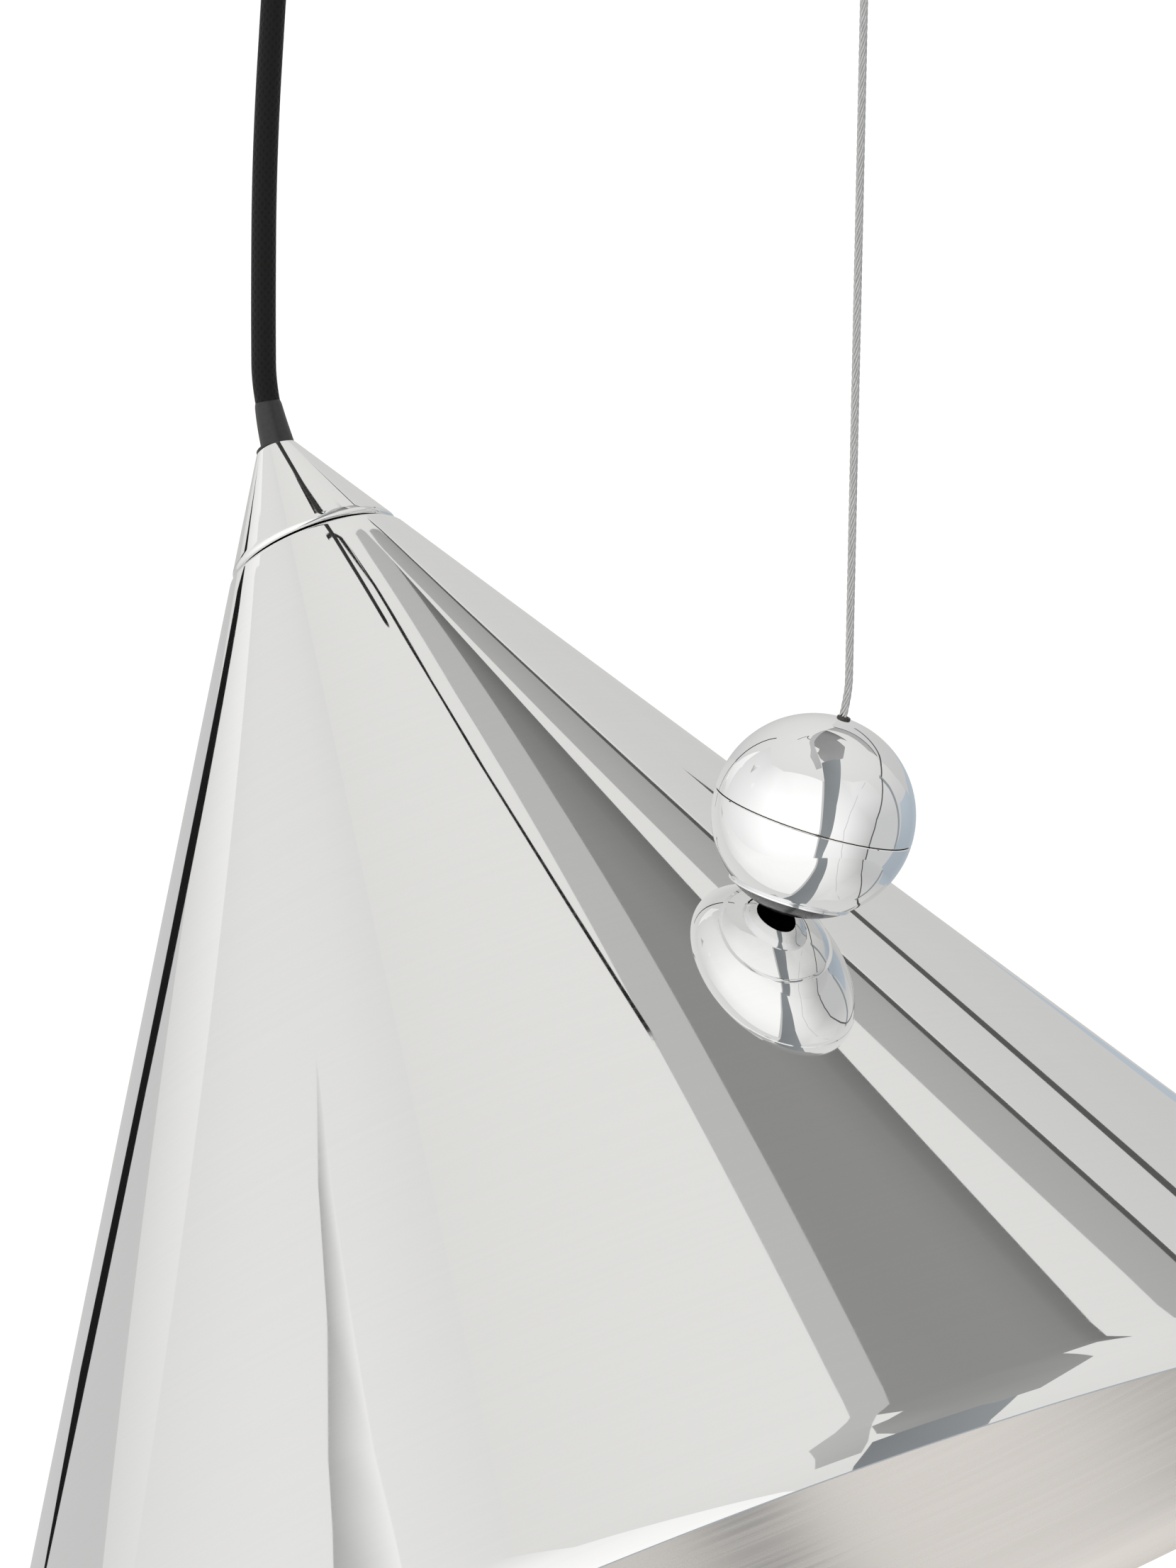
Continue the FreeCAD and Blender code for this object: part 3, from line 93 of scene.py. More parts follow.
sky_links.new(sky_ramp.outputs["Color"], sky_soft.inputs["Color"])
sky_links.new(sky_path.outputs["Is Camera Ray"], sky_mix.inputs[0])
sky_links.new(sky_soft.outputs[0], sky_mix.inputs[1])
sky_links.new(sky_white.outputs[0], sky_mix.inputs[2])
sky_links.new(sky_mix.outputs[0], sky_out.inputs["Surface"])


def glowing(name, colour):
    """A light or card: its own colour, times the brightness stored at each corner."""
    finish = bpy.data.materials.new(name)
    finish.use_nodes = True
    nodes, links = finish.node_tree.nodes, finish.node_tree.links
    nodes.clear()
    out = nodes.new("ShaderNodeOutputMaterial")
    glow = nodes.new("ShaderNodeEmission")
    glow.inputs["Color"].default_value = (*colour, 1)
    stored = nodes.new("ShaderNodeAttribute")
    stored.attribute_name = "brightness"
    links.new(stored.outputs["Fac"], glow.inputs["Strength"])
    links.new(glow.outputs[0], out.inputs["Surface"])
    return finish


# Distances in metres, from the cards at the back to the flags that hang in front of them.
LAMP_MIDDLE = (0, 0, -0.3)
CARDS, BOUNCE, RIBBONS, LINE, FLAGS = 40.0, 39.3, 38.7, 38.0, 37.3
neutral = glowing("neutral_light", (1.0, 0.995, 0.985))
cool = glowing("cool_light", (0.90, 0.96, 1.0))


def light_sheet(name, rows, finish=neutral, away=CARDS):
    """Quads between rows of (azimuth, elevation, brightness), as seen from the lamp's middle.
    A corner is at cos(el)cos(az), cos(el)sin(az), sin(el), times the distance away."""
    grid = np.array(rows, float)
    across, along = grid.shape[1], grid.shape[0]
    az, el = np.radians(grid[..., 0]).ravel(), np.radians(grid[..., 1]).ravel()
    spots = away * np.stack([np.cos(el) * np.cos(az), np.cos(el) * np.sin(az), np.sin(el)], 1)
    spots += LAMP_MIDDLE
    first = (np.arange(along - 1)[:, None] * across + np.arange(across - 1)).ravel()
    quads = np.stack([first, first + 1, first + across + 1, first + across], 1)
    mesh = bpy.data.meshes.new(name)
    mesh.from_pydata(spots.tolist(), [], quads.tolist())
    stored = mesh.attributes.new("brightness", "FLOAT", "POINT")
    stored.data.foreach_set("value", grid[..., 2].ravel().astype(np.float32))
    mesh.materials.append(finish)
    card = bpy.data.objects.new(name, mesh)
    bpy.context.scene.collection.objects.link(card)
    card.visible_camera = False
    card.visible_shadow = False
    return card


def band(name, stops, brightness, width, finish=neutral, away=RIBBONS):
    """A ribbon of card through (azimuth, elevation) stops, width degrees across: each stop is
    pushed half a width to either side of the ribbon's own direction."""
    line = np.array(stops, float)
    tall = np.cos(np.radians(line[:, 1]))
    step = np.gradient(line, axis=0) * np.stack([tall, np.ones(len(line))], 1)
    side = np.stack([-step[:, 1], step[:, 0]], 1) / np.linalg.norm(step, axis=1)[:, None]
    side[:, 0] /= tall
    half = np.broadcast_to(np.asarray(width, float) / 2, len(line))[:, None]
    level_column = np.full((len(line), 1), brightness)
    left = np.hstack([line + side * half, level_column])
    right = np.hstack([line - side * half, level_column])
    return light_sheet(name, np.stack([left, right], 1), finish, away)


# The big soft light in front, its grey side card, and the wall past it.
light_sheet("front_softbox", [
    [(-168, 50, 0.74), (-130, 50, 0.80), (-100, 52, 0.95), (-70, 55, 1.00), (-31, 48, 1.02)],
    [(-168, 25, 0.78), (-130, 25, 0.92), (-100, 25, 1.10), (-70, 25, 1.12), (-35, 20, 1.12)],
    [(-168, 0, 0.78), (-130, 0, 0.95), (-100, 0, 1.12), (-70, 0, 1.15), (-37, -5, 1.15)],
    [(-168, -25, 0.76), (-130, -25, 0.90), (-100, -25, 1.10), (-70, -28, 1.12), (-41, -30, 1.12)],
    [(-168, -52, 0.70), (-130, -55, 0.80), (-100, -56, 0.95), (-70, -56, 1.0), (-48, -52, 1.0)],
])
light_sheet("front_edge", [
    [(-31, 48, 0.62), (-28, 48, 0.62)],
    [(-35, 20, 0.62), (-32.5, 20, 0.62)],
    [(-37, -5, 0.62), (-35, -5, 0.62)],
    [(-41, -30, 0.62), (-39.5, -30, 0.62)],
    [(-48, -52, 0.62), (-45, -52, 0.62)],
])
light_sheet("grey_side_card", [
    [(-24, 70, 0.24), (30, 66, 0.34)],
    [(-28, 48, 0.26), (-2, 47, 0.32)],
    [(-32.5, 20, 0.28), (-17, 20, 0.30)],
    [(-35, -5, 0.30), (-23, -7, 0.30)],
    [(-39.5, -30, 0.32), (-31, -33, 0.32)],
    [(-45, -54, 0.34), (-39, -60, 0.36)],
], cool)
light_sheet("side_wall", [
    [(-2, 47, 0.80), (14, 40, 0.86), (34, 36, 0.80)],
    [(-17, 20, 0.95), (4, 20, 0.86), (44, 18, 0.70)],
    [(-23, -7, 1.02), (-9, -7, 0.96), (28, -7, 0.55)],
    [(-31, -33, 0.98), (-9, -33, 0.92), (26, -33, 0.50)],
    [(-39, -60, 0.90), (-5, -52, 0.86), (42, -52, 0.50)],
])
band("wall_trim", [(32, 35), (13, 27), (-2, 10), (-9.5, -8), (-9, -30), (-4, -43)],
     0.66, 0.9)
band("dark_frame", [(118, 28), (90, 30.5), (75, 31), (61, 28.5), (47, 18), (31, 0),
                    (26, -15), (25, -26), (30, -39), (42, -50), (69, -58)], 0.10, 1.6)
band("far_stand", [(58, 30), (63, 18), (66, 0), (69, -21), (77, -32), (96, -36)],
     0.34, 3.4, cool)
light_sheet("blue_bounce", [
    [(72, 4, 0.62), (100, 4, 0.58), (128, 0, 0.60)],
    [(72, -18, 0.52), (100, -18, 0.50), (128, -18, 0.56)],
    [(60, -50, 0.50), (100, -50, 0.46), (128, -46, 0.50)],
], glowing("blue_light", (0.80, 0.90, 1.0)), BOUNCE)

# The ceiling and the far side, which the shade's long flank shows.
light_sheet("ceiling_grey", [
    [(176, 84, 0.52), (140, 86, 0.52)],
    [(162, 80, 0.52), (139, 79, 0.52)],
    [(150, 75, 0.52), (133, 74, 0.52)],
    [(141, 69.5, 0.51), (128, 67, 0.51)],
    [(134, 65, 0.50), (125, 61, 0.50)],
    [(126, 58, 0.48), (123.5, 56.5, 0.48)],
])
light_sheet("ceiling_grey_top", [
    [(176, 84, 0.52), (140, 86, 0.52)],
    [(257, 86, 0.52), (-20, 87, 0.52)],
    [(296, 78, 0.52), (-26, 80, 0.50)],
    [(314, 70, 0.50), (-26, 72, 0.48)],
    [(320, 62, 0.48), (-27, 64, 0.46)],
])
light_sheet("ceiling_dark_side", [
    [(140, 86.5, 0.30), (50, 86, 0.30), (0, 85, 0.32), (-24, 84, 0.36)],
    [(110, 76, 0.29), (60, 74, 0.31), (20, 74, 0.33), (-22, 76, 0.36)],
    [(98, 65, 0.29), (74, 63, 0.33), (35, 64, 0.36), (-12, 67, 0.34)],
])
light_sheet("ceiling_dark", [
    [(140, 86, 0.30), (80, 84, 0.30)],
    [(139, 79, 0.29), (86, 76, 0.29)],
    [(133, 74, 0.28), (92, 70, 0.29)],
    [(128, 67, 0.275), (96, 64, 0.29)],
    [(125, 61, 0.22), (98, 60, 0.27)],
    [(123.5, 56.6, 0.15), (92, 56.6, 0.22)],
])
light_sheet("ceiling_grey_low", [
    [(123.5, 56.0, 0.44), (121.5, 54.8, 0.44), (104.5, 48.6, 0.45), (84, 41, 0.46)],
    [(120.5, 45.4, 0.36), (118, 44.4, 0.38), (106.5, 40.5, 0.42), (84, 34, 0.44)],
])
band("ceiling_line", [(84, 33.8), (95, 37.2), (106.5, 40.4), (114, 43), (122, 45.6)],
     0.10, 1.1, away=LINE)
light_sheet("far_wall", [
    [(124, 44, 0.70), (106, 39.5, 0.66), (80, 33, 0.64)],
    [(128, 20, 0.68), (112, 20, 0.62), (84, 16, 0.60)],
    [(142, -8, 0.66), (128, -8, 0.58), (100, -8, 0.56)],
])
light_sheet("back_softbox", [
    [(196, 46, 0.98), (203, 39, 0.98), (208, 35.4, 0.98), (214, 32.4, 0.98), (236, 26, 0.98)],
    [(188, 36, 1.00), (196, 31, 1.02), (202, 28, 1.00), (208, 26, 0.98), (230, 20, 0.95)],
    [(180, 20, 0.92), (188, 18, 0.92), (195, 16, 0.90), (202, 14, 0.88), (222, 8, 0.85)],
    [(168, 3, 0.74), (178, 2, 0.74), (186, 1, 0.74), (194, 0, 0.74), (214, -6, 0.72)],
])
light_sheet("back_flag", [
    [(207.8, 37.0, 0.72), (208.1, 37.2, 0.80)],
    [(208.7, 35.3, 0.46), (209.7, 37.4, 0.86)],
    [(210.3, 34.7, 0.44), (211.8, 38.0, 0.90)],
    [(211.3, 33.1, 0.44), (214.0, 38.7, 0.92)],
    [(212.1, 32.8, 0.44), (215.5, 39.6, 0.94)],
    [(214.0, 31.0, 0.44), (219.0, 41.0, 0.95)],
], away=FLAGS)
band("low_flag", [(181, 11), (176, 5), (170, -2), (164, -11)], 0.012, (1.6, 2.2, 2.9, 3.4),
     away=FLAGS)
band("high_flag", [(174, 68.8), (164, 69.1), (156, 69.3), (150, 69.3)], 0.02, 0.6, away=FLAGS)
band("high_hook", [(148, 69), (152.5, 70.8), (154, 72.2), (152.8, 73.8), (150.5, 75.4)],
     0.02, 0.6, away=FLAGS)

# The floor: a wide pale sheet, matt, a little below the rim.
floor_mesh = bpy.data.meshes.new("floor")
floor_mesh.from_pydata([(-5, -5, -0.78), (5, -5, -0.78), (5, 5, -0.78), (-5, 5, -0.78)],
                       [], [(0, 1, 2, 3)])
floor = bpy.data.objects.new("floor", floor_mesh)
bpy.context.scene.collection.objects.link(floor)
floor_finish = bpy.data.materials.new("pale_floor")
floor_finish.use_nodes = True
floor_shader = floor_finish.node_tree.nodes["Principled BSDF"]
floor_shader.inputs["Base Color"].default_value = (0.86, 0.85, 0.83, 1)
floor_shader.inputs["Roughness"].default_value = 0.9
floor_shader.inputs["Emission Color"].default_value = (1, 0.99, 0.97, 1)
floor_shader.inputs["Emission Strength"].default_value = 0.42
floor_mesh.materials.append(floor_finish)
floor.visible_glossy = False

# The mirror plate shows the cove and cards alone, not the fitting above the lamp.
for above in ("canopy", "cover", "link", "plunger", "wire"):
    for name in frame["record"]["behaviour"]["bodies"][above]:
        frame["nodes"][name].visible_glossy = False

# ---- Finishes shared by several pieces -------------------------------------------------------
# The head's pieces are turned about the cone's axis and the ball's about its wire, so each
# finish is laid out in that piece's own frame.
APEX = (-0.1135184, -0.0032712, -0.192)
BALL_CENTRE = (0.1048521, -0.0054287, -0.270029)
head = (Matrix.Translation(APEX) @ Matrix.Rotation(radians(-0.5661), 4, "Z")
        @ Matrix.Rotation(radians(-33.7), 4, "Y"))
ball = (Matrix.Translation(BALL_CENTRE) @ Matrix.Rotation(radians(43.4339), 4, "Z")
        @ Matrix.Rotation(radians(15.8), 4, "Y"))
upright = Matrix.Translation((0.110586, 0, 0))


def surface(name, colour, rough, metal=0.0, seat=upright, grain=(400, 400, 400), detail=3.0,
            spread=0.08, rough_spread=0.04, bump=0.0, bump_depth=0.00005, weight=None):
    """One procedural finish: noise in the piece's own frame, stretched along the tool marks,
    shifts the colour and the roughness a little and raises a fine bump."""
    finish = bpy.data.materials.new(name)
    finish.use_nodes = True
    nodes, links = finish.node_tree.nodes, finish.node_tree.links
    shader = nodes["Principled BSDF"]
    where = nodes.new("ShaderNodeTexCoord")
    turn = nodes.new("ShaderNodeMapping")
    turn.vector_type = "TEXTURE"
    turn.inputs["Location"].default_value = seat.to_translation()
    turn.inputs["Rotation"].default_value = seat.to_euler()
    stretch = nodes.new("ShaderNodeMapping")
    stretch.inputs["Scale"].default_value = grain
    noise = nodes.new("ShaderNodeTexNoise")
    noise.inputs["Scale"].default_value = 1.0
    noise.inputs["Detail"].default_value = detail
    tone = nodes.new("ShaderNodeValToRGB")
    low, high = tone.color_ramp.elements
    low.position, high.position = 0.3, 0.7
    low.color = (*(c * (1 - spread) for c in colour), 1)
    high.color = (*(min(1.0, c * (1 + spread)) for c in colour), 1)
    sheen = nodes.new("ShaderNodeMapRange")
    sheen.inputs["From Min"].default_value = 0.3
    sheen.inputs["From Max"].default_value = 0.7
    sheen.inputs["To Min"].default_value = rough - rough_spread
    sheen.inputs["To Max"].default_value = rough + rough_spread
    links.new(where.outputs["Object"], turn.inputs["Vector"])
    links.new(turn.outputs["Vector"], stretch.inputs["Vector"])
    links.new(stretch.outputs["Vector"], noise.inputs["Vector"])
    links.new(noise.outputs["Fac"], tone.inputs["Fac"])
    links.new(noise.outputs["Fac"], sheen.inputs["Value"])
    links.new(tone.outputs["Color"], shader.inputs["Base Color"])
    links.new(sheen.outputs["Result"], shader.inputs["Roughness"])
    shader.inputs["Metallic"].default_value = metal
    if bump:
        raised = nodes.new("ShaderNodeBump")
        raised.inputs["Strength"].default_value = bump
        raised.inputs["Distance"].default_value = bump_depth
        links.new(noise.outputs["Fac"], raised.inputs["Height"])
        links.new(raised.outputs["Normal"], shader.inputs["Normal"])
    return finish


def dress(names, finish):
    """Gives CAD nodes a finish, in every slot they have."""
    for name in names:
        slots = frame["nodes"][name].data.materials
        slots.clear()
        slots.append(finish)


def rounded(corners, steps=10):
    """A profile with its corners rounded. Each corner is (radius, height, fillet): the arc is
    tangent to both edges, and its points turn evenly from one to the other."""
    spots = [np.array(c[:2], float) for c in corners]
    line = []
    for i, corner in enumerate(corners):
        here = spots[i]
        if len(corner) == 2:
            line.append(here)
            continue
        back, ahead = spots[i - 1] - here, spots[(i + 1) % len(spots)] - here
        back /= np.linalg.norm(back)
        ahead /= np.linalg.norm(ahead)
        half = np.arccos(np.clip(back @ ahead, -1, 1)) / 2
        middle = here + (back + ahead) / np.linalg.norm(back + ahead) * corner[2] / np.sin(half)
        begin = here + back * corner[2] / np.tan(half) - middle
        end = here + ahead * corner[2] / np.tan(half) - middle
        spread = np.arccos(np.clip(begin @ end / corner[2] ** 2, -1, 1))
        share = np.linspace(0, 1, steps + 1)[:, None]
        line.extend(middle + (np.sin((1 - share) * spread) * begin
                              + np.sin(share * spread) * end) / np.sin(spread))
    return np.array(line)


def revolved(name, profile, seat, around, finishes, slots=None, crease=32):
    """A closed (radius, height) profile in mm carried round the seat's Z: point (r, h) at turn t
    goes to (r cos t, r sin t, h). A point on the axis becomes one pole."""
    profile = np.asarray(profile, float) / 1000
    turn = np.linspace(0, 2 * np.pi, around, endpoint=False)
    on_axis = profile[:, 0] < 1e-7
    count = np.where(on_axis, 1, around)
    start = np.concatenate([[0], np.cumsum(count)])
    rings = [np.stack([r * np.cos(turn[:n]), r * np.sin(turn[:n]), np.full(n, h)], 1)
             for (r, h), n in zip(profile, count)]
    spots = np.concatenate(rings)
    seat = np.array(seat)
    spots = spots @ seat[:3, :3].T + seat[:3, 3]
    here, there = np.arange(around), (np.arange(around) + 1) % around
    faces, which = [], []
    for i in range(len(profile)):
        j = (i + 1) % len(profile)
        if on_axis[i] and on_axis[j]:
            continue
        a, b = start[i], start[j]
        if on_axis[i]:
            made = np.stack([np.full(around, a), b + there, b + here], 1)
        elif on_axis[j]:
            made = np.stack([a + here, a + there, np.full(around, b)], 1)
        else:
            made = np.stack([a + here, a + there, b + there, b + here], 1)
        faces.extend(made.tolist())
        which.extend([0 if slots is None else slots(profile[i] * 1000, profile[j] * 1000, i)]
                     * around)
    ahead = np.roll(profile, -1, axis=0)
    doubled = profile[:, 0] * ahead[:, 1] - ahead[:, 0] * profile[:, 1]
    if doubled.sum() > 0:
        faces = [f[::-1] for f in faces]
    mesh = bpy.data.meshes.new(name)
    mesh.from_pydata(spots.tolist(), [], faces)
    for finish in finishes:
        mesh.materials.append(finish)
    mesh.polygons.foreach_set("material_index", np.array(which, np.int32))
    mesh.shade_smooth()
    mesh.set_sharp_from_angle(angle=radians(crease))
    piece = bpy.data.objects.new(name, mesh)
    bpy.context.scene.collection.objects.link(piece)
    return piece


# ---- Shade ---------------------------------------------------------------------------------
# A cone spun from 1 mm steel sheet, rim curled in, then polished and plated outside; the inside
# keeps the fine rings of the spinning tool, and its metal is tinted darker and warmer to paint in
# the warm, dim light reflected inside the shade.
# Millimetres: the half angle, the mouth, the curl's arc, the sheet, and the seam with the tip.
HALF_ANGLE = radians(30.3)
SLOPE = np.tan(HALF_ANGLE)
RIM_RADIUS, RIM_DEPTH, CURL, SHEET = 203.27, 353.0, 30.0, 1.0
HALF_CURL = radians(12)
SHADE_TOP, CURL_DEPTH, NECK_BORE = 41.9, 341.16, 12.1
curl_reach = CURL * np.tan(HALF_CURL)
curl_r, curl_d = CURL_DEPTH * SLOPE, CURL_DEPTH
knee_out = (curl_r + curl_reach * np.sin(HALF_ANGLE), -curl_d - curl_reach * np.cos(HALF_ANGLE))
wall_r, wall_d = SHEET * np.cos(HALF_ANGLE), SHEET * np.sin(HALF_ANGLE)
rim_lean = HALF_ANGLE - 2 * HALF_CURL
rim_in = (RIM_RADIUS - SHEET * np.cos(rim_lean), -RIM_DEPTH - SHEET * np.sin(rim_lean))
knee_in_reach = (CURL - SHEET) * np.tan(HALF_CURL)
knee_in = (curl_r - wall_r + knee_in_reach * np.sin(HALF_ANGLE),
           -curl_d - wall_d - knee_in_reach * np.cos(HALF_ANGLE))
flange_in_r = (SHADE_TOP + SHEET) * SLOPE - SHEET / np.cos(HALF_ANGLE)
straight = np.linspace(0.02, 0.985, 26)[:, None]
ARC_STEPS = 16
outer_edge = rounded([(NECK_BORE, -SHADE_TOP), (SHADE_TOP * SLOPE, -SHADE_TOP, 2.5),
                      knee_out + (CURL,), (RIM_RADIUS, -RIM_DEPTH)], ARC_STEPS)
inner_edge = rounded([rim_in, knee_in + (CURL - SHEET,), (flange_in_r, -SHADE_TOP - SHEET),
                      (NECK_BORE, -SHADE_TOP - SHEET)], ARC_STEPS)


def parted(profile, place, shares):
    """The profile with extra points between two neighbours: the first plus each share of the
    step to the second. place is the second one's index."""
    step = profile[place] - profile[place - 1]
    return np.concatenate([profile[:place], profile[place - 1] + shares * step,
                           profile[place:]])


outer_edge = parted(outer_edge, ARC_STEPS + 2, straight)
inner_edge = parted(inner_edge, ARC_STEPS + 2, straight)
shade_plate = surface("polished_shade", (0.905, 0.905, 0.90), 0.022, 1.0, head,
                      (6, 6, 900), 2.0, 0.006, 0.008)
# Painted light: the inside's metal is tinted darker and warmer than the plating, standing in for
# the warm, dim light it reflects.
inside_painted_warm_light = surface("spun_inside_painted_warm_light", (0.66, 0.63, 0.60), 0.27, 1.0, head,
                       (3, 3, 900), 4.0, 0.045, 0.04, 0.12, 0.00008)


def inner_side(first, second, index):
    """1 for the inside wall, from the rim's inner edge to the neck, and 0 for the rest."""
    return 1 if index >= len(outer_edge) else 0


shade = revolved("shade_skin", np.concatenate([outer_edge, inner_edge]), head, 448,
                 [shade_plate, inside_painted_warm_light], inner_side)
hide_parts("cone_shade")
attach(shade, "shade")

# ---- Tip -----------------------------------------------------------------------------------
# A solid turned and polished cap that carries the shade's point on from a hairline seam. Its
# spigot sits in the neck, and its top is cut flat for the cord's boot.
CAP_STEPS = 12
cap_profile = rounded([
    (4.62, -9.3), (4.62, -16.0), (5.05, -16.0), (5.05, -27.0), (12.05, -27.0), (12.05, -41.1),
    (41.1 * SLOPE, -41.1, 1.2), (9.3 * SLOPE, -9.3, 1.1)], CAP_STEPS)
lathe_share = np.linspace(0.03, 0.97, 14)[:, None]
cap_profile = parted(cap_profile, 6 + CAP_STEPS + 1, lathe_share)
tip = revolved("tip_skin", cap_profile, head, 256, [shade_plate])
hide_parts("tip_cap")
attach(tip, "shade")

# ---- Cord ----------------------------------------------------------------------------------
# Two-core flex in a black braided textile sleeve, 6.7 mm over the braid. It runs from the stem,
# through the boot and a slight double bend, straight up to the canopy.
cord_points = [(-0.096874, -0.003436, -0.216959), (-0.113518, -0.003271, -0.192),
               (-0.113786, -0.0036, -0.162), (-0.113686, -0.0035, -0.120),
               (-0.111986, -0.0016, -0.074), (-0.110586, 0, -0.034),
               (-0.110586, 0.00001, -0.007)]


def smooth_line(name, points, spacing):
    """Evenly spaced points and headings along the NURBS spline that has these control points."""
    curve = bpy.data.curves.new(name, "CURVE")
    curve.dimensions = "3D"
    spline = curve.splines.new("NURBS")
    spline.points.add(len(points) - 1)
    spline.points.foreach_set("co", np.array([(*p, 1) for p in points], np.float32).ravel())
    spline.order_u = 3
    spline.use_endpoint_u = True
    spline.resolution_u = 40
    guide = bpy.data.objects.new(name, curve)
    bpy.context.scene.collection.objects.link(guide)
    bpy.context.view_layer.update()
    mesh = bpy.data.meshes.new_from_object(guide.evaluated_get(
        bpy.context.evaluated_depsgraph_get()))
    line = np.empty(len(mesh.vertices) * 3)
    mesh.vertices.foreach_get("co", line)
    line = line.reshape(-1, 3)
    bpy.data.objects.remove(guide)
    bpy.data.curves.remove(curve)
    bpy.data.meshes.remove(mesh)
    steps = np.linalg.norm(np.diff(line, axis=0), axis=1)
    line = line[np.concatenate([[True], steps > 1e-9])]
    run = np.concatenate([[0], np.cumsum(np.linalg.norm(np.diff(line, axis=0), axis=1))])
    at = np.linspace(0, run[-1], int(run[-1] / spacing) + 2)
    even = np.stack([np.interp(at, run, line[:, k]) for k in range(3)], 1)
    heading = np.gradient(even, axis=0)
    return even, heading / np.linalg.norm(heading, axis=1)[:, None], at


def side_axes(heading, hint):
    """Two axes across each heading: the hint made square to it, and their cross product."""
    first = np.asarray(hint, float) - heading * (heading @ np.asarray(hint, float))[:, None]
    first /= np.linalg.norm(first, axis=1)[:, None]
    return first, np.cross(heading, first)


def swept(name, line, heading, radius, around, finish, lift=None, at=None):
    """A closed tube: at each point of the line a ring of the given radius, plus lift(turn,
    distance) on the surface. A pole point closes each end. Its UV is (turn, distance in mm)."""
    first, second = side_axes(heading, (0, 1, 0))
    turn = np.linspace(0, 2 * np.pi, around, endpoint=False)
    radius = np.broadcast_to(radius, len(line))[:, None]
    if lift is not None:
        radius = radius + lift(turn[None, :], at[:, None])
    rings = (line[:, None] + first[:, None] * (radius * np.cos(turn))[..., None]
             + second[:, None] * (radius * np.sin(turn))[..., None])
    spots = np.concatenate([rings.reshape(-1, 3), line[:1], line[-1:]])
    here, there = np.arange(around), (np.arange(around) + 1) % around
    low = (np.arange(len(line) - 1) * around)[:, None]
    quads = np.stack([low + here, low + there, low + around + there, low + around + here], 2)
    last = (len(line) - 1) * around
    ends = [np.stack([there, here, np.full(around, last + around)], 1),
            np.stack([last + here, last + there, np.full(around, last + around + 1)], 1)]
    faces = quads.reshape(-1, 4).tolist() + ends[0].tolist() + ends[1].tolist()
    mesh = bpy.data.meshes.new(name)
    mesh.from_pydata(spots.tolist(), [], faces)
    along = (at if at is not None else np.arange(len(line))) * 1000
    u0, v0 = np.meshgrid(here / around, along[:-1])
    u1 = u0 + 1 / around
    v1 = np.meshgrid(here, along[1:])[1]
    wall = np.stack([np.stack([u0, v0], -1), np.stack([u1, v0], -1), np.stack([u1, v1], -1),
                     np.stack([u0, v1], -1)], 2).reshape(-1, 2)
    caps = np.zeros((6 * around, 2))
    layer = mesh.uv_layers.new(name="round_and_along")
    layer.data.foreach_set("uv", np.concatenate([wall, caps]).astype(np.float32).ravel())
    mesh.materials.append(finish)
    mesh.shade_smooth()
    piece = bpy.data.objects.new(name, mesh)
    bpy.context.scene.collection.objects.link(piece)
    return piece


RIBBONS_ROUND, RIBBONS_ALONG = 12, 0.42
RIBBON_HEIGHT, RIBBON_SINK = 0.00011, 0.0001


